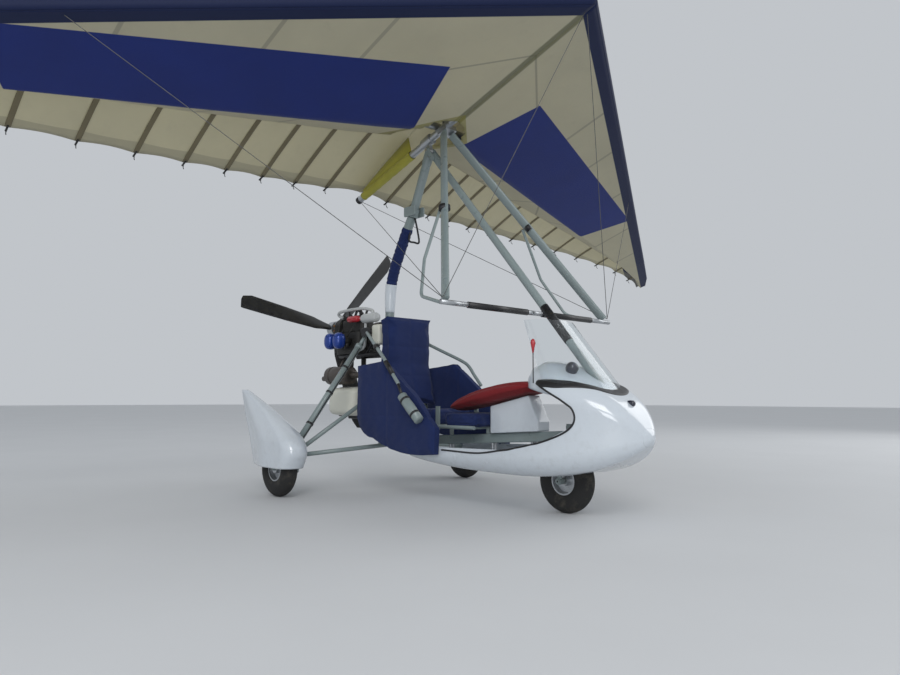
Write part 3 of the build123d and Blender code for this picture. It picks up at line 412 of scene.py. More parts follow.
def sail_shader(name, colours, lower):
    """Sailcloth: fine weave, seams along the span and chord, painted batten and keel shadows, coloured
    bands, light through the cloth.

    UV holds the place on the wing in metres: U is s along the keel, V is the distance from the keel.
    """
    n = Nodes(name)
    uv = n.add("UVMap", uv_map="UVMap")
    split = n.tree.nodes.new("ShaderNodeSeparateXYZ")
    n.tree.links.new(uv, split.inputs[0])
    s, y = split.outputs[0], split.outputs[1]
    plain = colours["cloth"]
    cloth = n.mix(n.noise(2.2, 6.0, 0.6), shade(plain, 0.88), shade(plain, 1.08))
    cloth = n.mix(n.ramp(n.noise(9.0, 8.0, 0.7), 0.0, 0.25, 0.55, 0.8), cloth, shade(plain, 0.7))

    def band(value, centre, half, soft=0.004):
        """1 inside the band, 0 outside."""
        gap = n.math("ABSOLUTE", n.math("SUBTRACT", value, centre))
        return n.ramp(gap, 1.0, 0.0, half - soft, half)

    def step(value):
        """1 where the value is over 0, 0 under it."""
        return n.ramp(value, 0.0, 1.0, -0.002, 0.002)

    def aft(s0, y0, s1, y1):
        """1 aft of the line through two places (s, y)."""
        line = n.math("MULTIPLY_ADD", n.math("SUBTRACT", y, y0), (s1 - s0) / (y1 - y0), s0)
        return step(n.math("SUBTRACT", s, line))

    def outer(s0, y0, slope):
        """1 further out than the line through a place (s, y) with this slope of y over s."""
        line = n.math("MULTIPLY_ADD", n.math("SUBTRACT", s, s0), slope, y0)
        return step(n.math("SUBTRACT", y, line))

    def inverse(mask):
        """1 where the mask is 0."""
        return n.math("SUBTRACT", 1.0, mask)

    behind_edge = n.math("SUBTRACT", s, n.times(y, SWEEP))
    dark_to = 0.118 if lower else 0.298
    leading = n.ramp(behind_edge, 1.0, 0.0, dark_to, dark_to + 0.004)
    if lower:
        # Chordwise lines on the lower skin: sewn seams, darkened further as painted shadow of the battens in
        # the upper skin, seen through the cloth.
        for place in (0.97, 1.50, 2.20, 2.95, 3.60):
            cloth = n.mix(n.times(band(y, place, 0.014), 0.45), cloth, shade(plain, 0.42))
        nose_seam = n.math("SUBTRACT", s, n.times(y, 0.86))
        cloth = n.mix(n.times(band(nose_seam, 0.50, 0.011), 0.5), cloth, shade(plain, 0.40))
        # Centre strip along the keel: the centre seam, darkened olive as painted shadow of the keel tube
        # inside the wing, seen through the cloth.
        cloth = n.mix(n.times(band(y, 0.0, 0.036, 0.012), 0.75), cloth, colours["seam_and_keel_shadow"])
        collar = n.times(aft(1.16, 0.0, 1.42, 0.26), inverse(n.ramp(y, 0.0, 1.0, 0.25, 0.256)))
        cloth = n.mix(n.times(collar, 0.65), cloth, colours["yellow"])
        ends = n.times(outer(0.84, 0.43, -0.318), inverse(outer(1.70, 2.80, -0.556)))
        panel = n.times(n.times(aft(0.84, 0.43, 1.70, 2.80), inverse(aft(1.50, 0.22, 2.15, 2.55))), ends)
        blue = colours["blue"]
        cloth = n.mix(panel, cloth, n.mix(n.noise(3.0, 5.0), shade(blue, 0.8), shade(blue, 1.15)))
        cloth = n.mix(leading, cloth, colours["navy"])
    else:
        for place in BATTENS:
            cloth = n.mix(n.times(band(y, place, 0.006), 0.35), cloth, shade(plain, 0.55))
        cloth = n.mix(leading, cloth, colours["navy"])
        rear = n.math("SUBTRACT", s, n.math("MULTIPLY_ADD", y, 0.095, 2.33))
        cloth = n.mix(n.times(n.ramp(rear, 0.0, 1.0, -0.004, 0.0), 0.5), cloth, shade(plain, 0.62))
    weave = n.times(n.math("SINE", n.times(s, 900.0)), n.math("SINE", n.times(y, 900.0)))
    n.feed(Base_Color=cloth, Roughness=0.62, Sheen_Weight=0.15, Coat_Weight=0.0)
    n.bump(n.math("ADD", n.times(n.noise(6.0, 7.0, 0.62), 6.0), weave), 0.25, 0.0012)
    through = n.add("BsdfTranslucent", {"Color": cloth})
    mixed = n.add("MixShader", {0: 0.42 if lower else 0.45, 1: n.shader.outputs[0], 2: through})
    n.tree.links.new(mixed, n.output.inputs["Surface"])
    return n.material


def clear_screen(name, colour):
    """Thin bent acrylic: clear, faintly tinted, hazed with fine scratches."""
    n = Nodes(name)
    haze = n.ramp(n.noise(30.0, 8.0, 0.7, (1.0, 1.0, 6.0)), 0.02, 0.16, 0.4, 0.8)
    n.feed(Base_Color=colour, Roughness=haze, Transmission_Weight=1.0, IOR=1.02, Coat_Weight=0.6,
           Coat_Roughness=0.03)
    n.bump(n.noise(12.0, 3.0), 0.04, 0.001)
    return n.material


def rubber(name, colour):
    """Tyre rubber: dark, dull, dusty in patches."""
    n = Nodes(name)
    dust = n.ramp(n.noise(12.0, 8.0, 0.7), 0.0, 0.6, 0.5, 0.8)
    n.feed(Base_Color=n.mix(dust, colour, (0.12, 0.105, 0.08)), Roughness=0.86)
    n.bump(n.noise(90.0, 4.0), 0.25, 0.001)
    return n.material


def make_materials(p):
    """Make every finish from the panel's colours."""
    # The centre strip's olive is painted keel shadow over the centre seam.
    sail = {"cloth": tuple(p.cloth), "blue": tuple(p.panel_blue), "navy": tuple(p.navy),
            "seam_and_keel_shadow": (0.20, 0.20, 0.09), "yellow": (0.42, 0.38, 0.07)}
    return {
        "white": paint("gloss_white", p.shell, 0.16, coat=0.8, spread=0.02, grain=25.0, bump=0.02,
                       dirt=0.22),
        "dark_gloss": paint("dark_gloss", (0.012, 0.014, 0.03), 0.12, coat=0.9, spread=0.1, bump=0.02),
        "frame": paint("frame_paint", p.frame_paint, 0.34, coat=0.15, bump=0.05, dirt=0.35),
        "black": paint("black_paint", (0.014, 0.014, 0.016), 0.42, spread=0.2, bump=0.12),
        "alloy": brushed("drawn_alloy", p.alloy),
        "steel": brushed("bright_steel", (0.62, 0.62, 0.60), 0.24),
        "navy": woven("navy_cloth", p.navy),
        "red": woven("red_cloth", p.red),
        "engine": paint("engine_casting", (0.035, 0.034, 0.032), 0.55, metallic=0.35, spread=0.3,
                        grain=120.0, bump=0.5),
        "blue_metal": paint("blue_casting", p.engine_blue, 0.3, metallic=0.3, coat=0.4, spread=0.2,
                            bump=0.2),
        "tank": paint("tank_plastic", (0.66, 0.66, 0.58), 0.42, spread=0.06, bump=0.05),
        "prop": paint("blade_black", (0.012, 0.012, 0.013), 0.38, coat=0.2, spread=0.2, bump=0.05),
        "tyre": rubber("tyre_rubber", (0.018, 0.018, 0.018)),
        "screen": clear_screen("clear_screen", (0.93, 0.96, 0.97)),
        "pale_hose": paint("pale_hose", (0.50, 0.52, 0.52), 0.4, spread=0.1, bump=0.1),
        "burnt": paint("burnt_steel", (0.11, 0.095, 0.085), 0.42, metallic=0.7, spread=0.35,
                       grain=90.0, bump=0.3),
        "strap": woven("white_webbing", (0.62, 0.62, 0.58), 0.003, 0.1),
        "wire": paint("stay_wire", (0.10, 0.10, 0.10), 0.4, metallic=0.6),
        "bronze": paint("bronze", (0.42, 0.20, 0.07), 0.4, metallic=0.8, bump=0.2),
        "sail_top": sail_shader("sail_top", sail, False),
        "sail_low": sail_shader("sail_low", sail, True),
        "pocket": woven("batten_pocket", (0.20, 0.17, 0.10), 0.003, 0.1),
        "yellow": woven("keel_pocket", (0.42, 0.39, 0.06), 0.003, 0.1),
        "red_paint": paint("red_paint", (0.45, 0.02, 0.03), 0.3, coat=0.4),
    }


MATERIALS = {}
NODE_FINISH = {
    "white": ("pod", "spat_left", "spat_right"),
    "dark_gloss": ("instrument_cowl",),
    "screen": ("windscreen",),
    "frame": ("chassis_beam", "mast_lower", "front_strut", "gear_left", "gear_right", "seat_frame", "fork",
              "training_bars", "mast_upper", "mast_bracket", "downtubes"),
    "black": ("engine_mount", "tank_tray", "control_bar"),
    "alloy": ("pod_posts", "foot_bar", "front_rim", "rear_left_rim", "rear_right_rim", "prop_hub",
              "hang_bracket", "wing_keel", "leading_edges", "crossbar", "kingpost", "keel_fittings"),
    "steel": ("hang_bolt", "exhaust"),
    "wire": ("rigging_lower", "rigging_upper"),
    "engine": ("engine_case", "gearbox", "carburettors"),
    "blue_metal": ("engine_heads",),
    "tank": ("fuel_tank",),
    "prop": ("prop_blades",),
    "tyre": ("front_tyre", "rear_left_tyre", "rear_right_tyre"),
    "navy": ("front_seat", "rear_seat", "seat_back", "pannier_left", "pannier_right"),
    "red": ("front_backrest",),
    "sail_top": ("sail_left", "sail_right"),
}


# Wing cloth

def station(y):
    """Leading edge, trailing edge, trailing n, crest n and nose radius at a distance from the keel."""
    return [np.interp(y, STATIONS[:, 0], STATIONS[:, k]) for k in range(1, 6)]


def upper_n(s, lead, trail, trail_n, crest_n, radius):
    """Height of the upper skin: two circle arcs that meet level at the crest."""
    crest_s = lead + CREST_SHARE * (trail - lead)
    span = np.where(s < crest_s, crest_s - lead - radius, trail - crest_s)
    drop = np.where(s < crest_s, crest_n - radius, crest_n - trail_n)
    curve = (span ** 2 + drop ** 2) / (2 * drop)
    return crest_n - curve + np.sqrt(np.maximum(curve ** 2 - (s - crest_s) ** 2, 0.0))


def between_battens(y):
    """0 at a batten and 1 midway between two: |sin| of the share of the way times pi."""
    edges = np.array((0.0,) + BATTENS + (HALF_SPAN,))
    k = np.clip(np.searchsorted(edges, y, side="right") - 1, 0, len(edges) - 2)
    return np.sin(math.pi * np.clip((y - edges[k]) / (edges[k + 1] - edges[k]), 0, 1))


def upper_skin(side, scallop, billow):
    """Rows run out along the span, columns over the top from under the nose: arcs, sunk between battens."""
    y = np.unique(np.concatenate([np.linspace(0.0, HALF_SPAN, 195), BATTENS]))[:, None]
    lead, trail, trail_n, crest_n, radius = station(y)
    hollow = between_battens(y)
    trail = trail - scallop * hollow
    inset = 0.5 * SKIN * radius / EDGE_R
    a = np.linspace(-1.35, 0.5 * math.pi, 14)[None]
    nose_s = lead + radius - (radius - inset) * np.cos(a)
    nose_n = (radius - inset) * np.sin(a)
    share = np.linspace(0, 1, 46)[None, 1:] ** 1.15
    top_s = lead + radius + (trail - lead - radius) * share
    top_n = upper_n(top_s, lead, trail, trail_n, crest_n, radius) - inset
    behind = np.clip((share - 0.35) / 0.3, 0, 1) * np.sin(math.pi * np.clip(share, 0, 1)) ** 0.5
    s = np.concatenate([nose_s, top_s], 1)
    n = np.concatenate([nose_n, top_n - billow * hollow * behind], 1)
    y2 = np.broadcast_to(y, s.shape)
    return wing(s, side * y2, n), np.stack([s, y2], -1)


def lower_skin(side):
    """Rows run out along the span, columns aft: level, then straight up to the upper skin."""
    y = np.linspace(0.0, LOWER_SPAN, 190)[:, None]
    lead, trail, trail_n, crest_n, radius = station(y)
    chord = trail - lead
    rear_s = lead + DOUBLE_SHARE * chord
    rear_n = upper_n(rear_s, lead, trail, trail_n, crest_n, radius) - 2 * SKIN - 0.003
    flat_s = lead + LOWER_FLAT * chord
    start = lead + radius * 0.75
    s = start + (rear_s - start) * np.linspace(0, 1, 64)[None]
    slope = np.clip((s - flat_s) / (rear_s - flat_s), 0, 1)
    n = -radius + 0.5 * SKIN + (rear_n + radius) * slope
    y2 = np.broadcast_to(y, s.shape)
    return wing(s, side * y2, n), np.stack([s, y2], -1), s, y2


def make_wing_cloth(context):
    """Upper and lower skins of both halves and their battens; the lower one is open round the hang point."""
    p = context.scene.microlight
    for side, name in SIDES:
        points, uv = upper_skin(side, p.scallop, p.billow)
        top = solid(grid(f"sail_top_{name}", points, uv=uv, flip=side > 0), CLOTH)
        put(top, "sail_top", [f"sail_{name}"], "wing")
        points, uv, s, y = lower_skin(side)
        hole = ((s - NOSE_S) / 0.285) ** 2 + (y / 0.196) ** 2 < 1.0
        hole |= (s - APEX_S) ** 2 + y ** 2 < 0.068 ** 2
        low = solid(open_grid(f"sail_low_{name}", points, uv, hole, side < 0), CLOTH)
        put(low, "sail_low", body="wing")
        make_battens(side, name)


def make_battens(side, name):
    """Batten pockets behind the lower skin, and each batten's tip with its cord hook."""
    pockets, ends = [], []
    a = np.linspace(0, 2 * math.pi, 10, endpoint=False)
    for y0 in BATTENS:
        lead, trail, trail_n, crest_n, radius = station(y0)
        s = np.linspace(lead + DOUBLE_SHARE * (trail - lead) - 0.05, trail - 0.012, 14)
        n = upper_n(s, lead, trail, trail_n, crest_n, radius) - SKIN - 0.004
        ring_y = y0 + 0.017 * np.cos(a)
        ring_n = 0.0035 * np.sin(a)
        ring = wing(s[:, None], side * ring_y[None], n[:, None] + ring_n[None])
        pockets.append(rings_solid("pocket", ring))
        tip = wing(np.array([trail - 0.03, trail + 0.03]), side * y0, trail_n - SKIN - 0.004)
        ends.append(tube("tip", tip, 0.0065, 10, 2))
        hook = [wing(trail + ds, side * (y0 + dy), trail_n - dn)
                for ds, dy, dn in ((0.006, 0.0, 0.012), (0.010, 0.004, 0.035), (0.002, 0.006, 0.055))]
        ends.append(tube("hook", hook, 0.0028, 8, 10))
    build(f"batten_pockets_{name}", pockets, "pocket", body="wing")
    build(f"batten_tips_{name}", ends, "black", body="wing")


def solid(obj, thickness):
    """Give a skin its thickness."""
    modifier = obj.modifiers.new("thickness", "SOLIDIFY")
    modifier.thickness = thickness
    modifier.offset = 0.0
    return obj


def open_grid(name, points, uv, hole, flip):
    """Surface through a grid, without the quads that have a corner in the hole."""
    faces = grid_faces(*points.shape[:2])
    kept = faces[~hole.reshape(-1)[faces].any(axis=1)]
    used, index = np.unique(kept, return_inverse=True)
    kept = index.reshape(kept.shape)
    if flip:
        kept = kept[:, ::-1]
    return mesh_object(name, points.reshape(-1, 3)[used], kept.tolist(), uv.reshape(-1, 2)[used])


# Outlines and bars shared by several pieces

def plate(name, outline, low, high, across="y"):
    """Flat plate: a convex outline of (forward, z) or (y, z) pairs between two values of the other axis."""
    outline = np.asarray(outline, float)
    rings = []
    for value in (low, high):
        if across == "y":
            ring = np.stack([REAR_X + outline[:, 0], np.full(len(outline), value), outline[:, 1]], -1)
        else:
            ring = np.stack([np.full(len(outline), REAR_X + value), outline[:, 0], outline[:, 1]], -1)
        rings.append(ring)
    piece = rings_solid(name, rings)
    piece.data.polygons.foreach_set("use_smooth", np.zeros(len(piece.data.polygons), bool))
    return outward(piece)


def lobes(centre_a, radius_a, centre_b, radius_b, steps=24):
    """Belt outline round two circles, the first above the second, as (across, z) pairs."""
    a = np.linspace(0, math.pi, steps)
    top = np.stack([centre_a[0] + radius_a * np.cos(a), centre_a[1] + radius_a * np.sin(a)], -1)
    low = np.stack([centre_b[0] - radius_b * np.cos(a), centre_b[1] - radius_b * np.sin(a)], -1)
    return np.vstack([top, low])


def bar(name, start, end, radius, sides=18):
    """Straight round bar between two places given forward of the rear axle."""
    return tube(name, [at(*start), at(*end)], radius, sides, 2)


def pipe(name, points, radius, sides=18, samples=60):
    """Bent round bar through places given forward of the rear axle."""
    return tube(name, [at(*p) for p in points], radius, sides, samples)


def spun(name, start, end, profile, sides=28):
    """Turned solid between two places given forward of the rear axle."""
    return turned(name, at(*start), at(*end), profile, sides)


def block(name, centre, size, power, rows=12, cols=40):
    """Rounded box at a place given forward of the rear axle."""
    return rounded_box(name, at(*centre), size, power, rows, cols)


# Mast, gear legs, strut sleeve

def part_of_path(path, low_z, high_z, samples):
    """The stretch of a rising path between two heights."""
    z = np.linspace(low_z, high_z, samples)
    return np.stack([np.interp(z, path[:, 2], path[:, k]) for k in range(3)], -1)


def make_mast(context):
    """Bent lower mast with its moulded shroud, cloth sleeve, the bracket's handle and the strut's sleeve."""
    path = smooth_path([at(f, 0.0, z) for f, z in MAST_LINE], 90)
    mast = rings_solid("mast", tube_points(path, 0.034, 32))
    build("mast_tube", [mast], "frame", ["mast_lower"])
    radius = np.interp(np.linspace(0, 1, 30), (0, 0.06, 0.5, 1), (0.0345, 0.037, 0.041, 0.044))
    shroud = rings_solid("shroud", tube_points(part_of_path(path, 1.295, 1.507, 30), radius, 32))
    build("mast_shroud", [shroud], "white")
    u = np.linspace(0, 1, 120)
    radius = 0.0392 + 0.0022 * np.sin(u * 71.0) * np.sin(u * 19.0) - 0.003 * (np.abs(2 * u - 1) > 0.97)
    stretch = part_of_path(path, 1.505, 1.905, 120)
    sleeve = outward(grid("mast_sleeve", tube_points(stretch, radius, 40), wrap_cols=True))
    put(solid(sleeve, SLEEVE_CLOTH), "navy")
    handle = [(0.352, 0.0, 1.995), (0.392, 0.0, 1.860), (0.405, 0.0, 1.780), (0.352, 0.0, 1.790),
              (0.296, 0.0, 1.812), (0.305, 0.0, 1.880)]
    build("mast_handle", [pipe("handle", handle, 0.007, 12)], "black")
    run = STRUT_HEAD - STRUT_FOOT
    low, high = ((z - STRUT_FOOT[2]) / run[2] for z in (0.985, 1.205))
    cover = bar("cover", STRUT_FOOT + run * low, STRUT_FOOT + run * high, 0.0268, 30)
    build("strut_sleeve", [cover], "black")


def make_gear(context):
    """Telescopic leg, two lower tubes, knuckle block, axle and brake line on each side."""
    for side, name in SIDES:
        top, low = np.array([0.0, side * 0.160, 1.126]), np.array([0.005, side * 0.769, 0.300])
        leg = low - top
        split = top + leg * 0.10
        inner = side * 0.765
        build(f"gear_leg_{name}", [
            bar("rod", top, split + leg * 0.02, 0.013),
            bar("leg", split, low, 0.0235, 28),
            bar("collar", split, split + leg * 0.03, 0.0265, 28),
            bar("brace", (0.058, side * 0.041, 0.735), (0.030, side * 0.769, 0.280), 0.015),
            bar("drag", (0.250, side * 0.0295, 0.330), (0.062, side * 0.769, 0.270), 0.015),
            block("knuckle", (0.025, side * 0.771, 0.252), (0.112, 0.020, 0.195), 12.0, 16, 32),
            bar("axle", (0.0, inner, AXLE_Z), (0.0, side * 0.917, AXLE_Z), 0.012),
            bar("hub", (0.0, inner, AXLE_Z), (0.0, side * 0.823, AXLE_Z), 0.019),
        ], "frame", [f"gear_{name}"])
        rings = [bar("ring", top + leg * share, top + leg * share + leg * 0.014, 0.0262, 28)
                 for share in (0.30, 0.52, 0.78)]
        line = [top + leg * share + np.array([0.030, 0, 0.004 * (-1) ** k])
                for k, share in enumerate((0.14, 0.35, 0.6, 0.8, 0.97))]
        rings.append(pipe("brake_line", line, 0.0035, 10))
        build(f"leg_rings_{name}", rings, "black")


# Wheel spats

SPAT_ROWS = np.array([  # height, tail, nose, half width
    (0.195, -0.345, 0.215, 0.092),
    (0.300, -0.388, 0.272, 0.092),
    (0.400, -0.425, 0.212, 0.088),
    (0.515, -0.478, -0.010, 0.060),
    (0.625, -0.515, -0.250, 0.033),
    (0.712, -0.545, -0.470, 0.012),
])
SPAT_EDGE = 0.007  # half width at the tail
SPAT_WALL = 0.004


def spat_surface():
    """Teardrop rings stacked by height: half width grows as sin^1.4 from the tail, then a round nose."""
    z = np.linspace(SPAT_ROWS[0, 0], SPAT_ROWS[-1, 0], 64)
    tail, nose, half = (smooth_steps(z, SPAT_ROWS[:, 0], SPAT_ROWS[:, k])[:, None] for k in (1, 2, 3))
    u = np.linspace(0, 1, 56)[None]
    length = nose - tail
    nose_share = np.clip(half / length, 0.02, 0.6)
    body = np.clip(u / (1 - nose_share), 0, 1)
    grown = SPAT_EDGE + (half - SPAT_EDGE) * np.sin(0.5 * math.pi * np.clip(body * 1.5, 0, 1)) ** 1.4
    rounded = half * np.sqrt(np.clip(1 - ((u - 1 + nose_share) / nose_share) ** 2, 0, 1))
    width = np.maximum(np.where(u < 1 - nose_share, grown, rounded), 0.0004)
    x = REAR_X + tail + length * u
    x = np.concatenate([x, x[:, -2::-1][:, :-1]], 1)
    y = np.concatenate([width, -width[:, -2::-1][:, :-1]], 1)
    return np.stack([x, y, np.broadcast_to(z[:, None], x.shape)], -1)


def smooth_steps(x, places, values):
    """Smooth line through a short table: straight runs, then averaged over a sliding window."""
    wide = np.linspace(places[0], places[-1], 400)
    line = np.interp(wide, places, values)
    window = 61
    before = 2 * line[0] - line[window // 2:0:-1]
    after = 2 * line[-1] - line[-2:-window // 2 - 1:-1]
    padded = np.concatenate([before, line, after])
    return np.interp(x, wide, np.convolve(padded, np.ones(window) / window, "valid"))


def make_spats(context):
    """Moulded spats with a fin over the tail, open below and slotted for the knuckle."""
    for side, name in SIDES:
        points = spat_surface()
        x, y, z = np.moveaxis(points, -1, 0)
        slot = (x > REAR_X - 0.038) & (x < REAR_X + 0.088) & (z < 0.372) & (y * side < 0)
        points = points + np.array([0.0, side * HALF_TRACK, 0.0])
        rows, cols = points.shape[:2]
        faces = grid_faces(rows, cols, False, True)
        faces = faces[~slot.reshape(-1)[faces].all(axis=1)]
        top = (rows - 1) * cols + np.arange(cols)
        flat = np.vstack([points.reshape(-1, 3), points[-1].mean(0)])
        fan = np.stack([top, np.roll(top, -1), np.full(cols, rows * cols)], 1)
        used, index = np.unique(np.concatenate([faces.ravel(), fan.ravel()]), return_inverse=True)
        kept = index[:faces.size].reshape(faces.shape).tolist() + index[faces.size:].reshape(-1, 3).tolist()
        shell = mesh_object(f"wheel_spat_{name}", flat[used], kept)
        wall = shell.modifiers.new("wall", "SOLIDIFY")
        wall.thickness, wall.offset = SPAT_WALL, -1.0
        put(outward(shell), "white", [f"spat_{name}"])


# Cockpit: fairing round the strut, the band at its foot, nose, console, instruments and a tall rod

FAIRING = (  # rise, middle, half length, half width
    (-0.050, 1.800, 0.306, 0.250),
    (0.000, 1.790, 0.300, 0.246),
    (0.030, 1.775, 0.268, 0.236),
    (0.060, 1.750, 0.220, 0.216),
    (0.090, 1.722, 0.155, 0.170),
    (0.108, 1.700, 0.105, 0.120),
    (0.116, 1.690, 0.050, 0.060),
)
FAIRING_SLOPE = math.radians(12)
FAIRING_REAR = 1.600
FAIRING_SIDES = 72
POD_NOSE, POD_NOSE_Z = 2.268, 0.450
BAND_WIDTH = 0.080
OPENING = ((0.990, 0.335), (1.300, 0.335), (1.500, 0.362), (1.610, 0.376), (1.720, 0.399), (1.830, 0.432),
           (1.910, 0.465), (1.960, 0.500), (1.981, 0.541), (1.975, 0.585), (1.948, 0.620), (1.900, 0.650),
           (1.820, 0.692), (1.735, 0.735))
OPENING_MIDDLE = np.array([1.45, 0.52])
WHIP = (1.690, -0.250)


def fairing_ring(rise, forward, length, width):
    """Ellipse over the sloping base plane, cut flat behind."""
    a = np.linspace(0, 2 * math.pi, FAIRING_SIDES, endpoint=False)
    along = length * np.cos(a)
    base_z = 0.728 - (forward - 1.790) * math.tan(FAIRING_SLOPE)
    x = forward + along * math.cos(FAIRING_SLOPE) + rise * math.sin(FAIRING_SLOPE)
    z = base_z - along * math.sin(FAIRING_SLOPE) + rise * math.cos(FAIRING_SLOPE)
    over = np.maximum(FAIRING_REAR - x, 0.0)
    return np.stack([REAR_X + (x + over), width * np.sin(a), z - over * math.tan(FAIRING_SLOPE)], -1)


def make_cockpit(context):
    """Pale fairing, black band, opening trim, nose dome, console, dials, ball compass, red-tipped rod."""
    rings = smooth_rows(np.stack([fairing_ring(*row) for row in FAIRING]), 30)
    build("strut_fairing", [rings_solid("fairing", rings)], "white", ["instrument_cowl"])
    put(hugging_band("shoulder_band", crease_line(rings, "pod"), "pod"), "black")
    build("nose_cap", [nose_cap()], "white")
    trims = [rings_solid("trim", tube_points(opening_edge(side), 0.0055, 10)) for side in (-1, 1)]
    build("opening_trim", trims, "black")
    outline = [(1.165, 0.434), (1.560, 0.459), (1.560, 0.515), (1.484, 0.674), (1.165, 0.606)]
    put(soften(plate("console", outline, -0.055, 0.055), 0.010), "white")
    nose_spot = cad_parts["pod"].closest_point_on_mesh(tuple(at(2.170, 0.0, 0.640)))[1]
    build("instruments", [
        block("compass", (1.862, -0.120, 0.822), (0.074, 0.074, 0.074), 2.0, 24, 36),
        rounded_box("nose_fitting", np.array(nose_spot), (0.050, 0.032, 0.034), 3.0, 16, 24),
        spun("dial", (1.618, 0.02, 0.812), (1.592, 0.02, 0.812), [(0, 0.048), (0.8, 0.048), (1, 0.042)]),
        spun("dial", (1.618, 0.12, 0.806), (1.592, 0.12, 0.806), [(0, 0.034), (0.8, 0.034), (1, 0.03)]),
    ], "dark_gloss")
    build("whip", [bar("rod", (*WHIP, 0.740), (*WHIP, 0.955), 0.003, 10)], "black")
    drop = [(0, 0.004), (0.35, 0.009), (0.7, 0.015), (0.9, 0.012), (1, 0.003)]
    build("whip_tip", [spun("tip", (*WHIP, 0.910), (*WHIP, 0.990), drop)], "red_paint")


def nose_cap():
    """Shallow dome on the pod's flat front: rounded rectangles shrink by s while x = depth * (1 - s^2)."""
    a = (np.arange(64) + 0.5) * 2 * math.pi / 64
    y = np.sign(np.cos(a)) * 0.022 + 0.040 * np.cos(a)
    z = np.sign(np.sin(a)) * 0.008 + 0.040 * np.sin(a)
    rows = [(-0.006, 0.93), (0.0, 1.006)] + [(0.022 * (1 - s * s), s) for s in np.linspace(0.97, 0.04, 14)]
    return rings_solid("nose", [np.stack([np.full(64, REAR_X + POD_NOSE + x), y * s, POD_NOSE_Z + z * s], -1)
                                for x, s in rows])


def off_shell(place):
    """Direction away from the pod's upper shell at a place."""
    return unit(np.array((0.25, 2.0 * place[1], 0.8)))


def crease_line(rings, node):
    """Line where rings come out of a CAD shell: the highest place of each column that lies under it."""
    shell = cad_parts[node]
    line = []
    for column in np.roll(rings, 24, axis=1)[:, :49].transpose(1, 0, 2):
        away = off_shell(column[0])
        under = [spot for spot in column if shell.ray_cast(tuple(spot), tuple(away), distance=0.2)[0]]
        line.append(under[-1] if under else column[0])
    line = np.array(line)
    for _ in range(4):
        line[1:-1] = 0.25 * line[:-2] + 0.5 * line[1:-1] + 0.25 * line[2:]
    return smooth_path([tuple(p) for p in line[::3]], 160)


def hugging_band(name, line, node):
    """Band 2 mm off a CAD shell below a line: each place is where a ray from outside meets the shell."""
    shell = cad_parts[node]
    outside = unit(np.cross(np.gradient(line, axis=0), (0.0, 0.0, 1.0)))
    across = outside * 0.6 + np.array((0.0, 0.0, -0.8))
    rows = []
    for place, side in zip(line, across):
        row = []
        for share in np.linspace(0.0, 1.0, 7):
            target = place + side * BAND_WIDTH * (share - 0.08)
            away = off_shell(target)
            found, spot, normal, _ = shell.ray_cast(tuple(target + away * 0.15), tuple(-away), distance=0.3)
            if not found:
                _, spot, normal, _ = shell.closest_point_on_mesh(tuple(target))
            row.append(np.array(spot) + np.array(normal) * 0.0026 * (1 - (2 * share - 1) ** 6))
        rows.append(row)
    band = grid(name, np.array(rows))
    if sum(f.normal.z * f.area for f in band.data.polygons) < 0:
        band.data.flip_normals()
    return solid(band, SLEEVE_CLOTH)


def opening_edge(side):
    """Line along the pod's opening: the side view's curve, set out to the shell by a ray from the side."""
    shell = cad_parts["pod"]
    line = []
    for forward, _, z in smooth_path([(f, 0.0, z) for f, z in OPENING], 110):
        away = unit(np.array([forward, z]) - OPENING_MIDDLE)
        start = at(forward + away[0] * 0.004, side * 0.6, z + away[1] * 0.004)
        found, spot, _, _ = shell.ray_cast(tuple(start), (0.0, -side, 0.0))
        if found and abs(spot[1]) > 0.05:
            line.append(np.array(spot))
    return np.array(line)


def smooth_rows(rings, rows):
    """More rows through a stack of rings, by a smooth line through each column."""
    out = np.empty((rows, *rings.shape[1:]))
    for column in range(rings.shape[1]):
        out[:, column] = smooth_path(rings[:, column], rows)
    return out


def soften(obj, width):
    """Bevel a plate's edges."""
    modifier = obj.modifiers.new("edge", "BEVEL")
    modifier.width, modifier.segments = width, 3
    return obj


# Engine

NUT_SPREAD = 0.046  # head nuts stand this far from a cylinder's middle, both ways
CARBURETTORS = (-0.400, -0.285)
PLUG_CAP = ((0.0, 0.026, 1.300), (0.0, 0.034, 1.338), (0.01, 0.052, 1.352), (0.03, 0.085, 1.335))
CHAMBER_Y, CHAMBER_Z = 0.240, 1.215
CROSS_X = -0.088  # the exhaust's pipe across, under the engine
STRAP_WIDTH = 0.028
LINK_Y = 0.386
BOTTLE_TOP = np.array([0.700, -0.3925, 0.672])
BOTTLE_RUN = np.array([0.180, 0.0, -0.160])


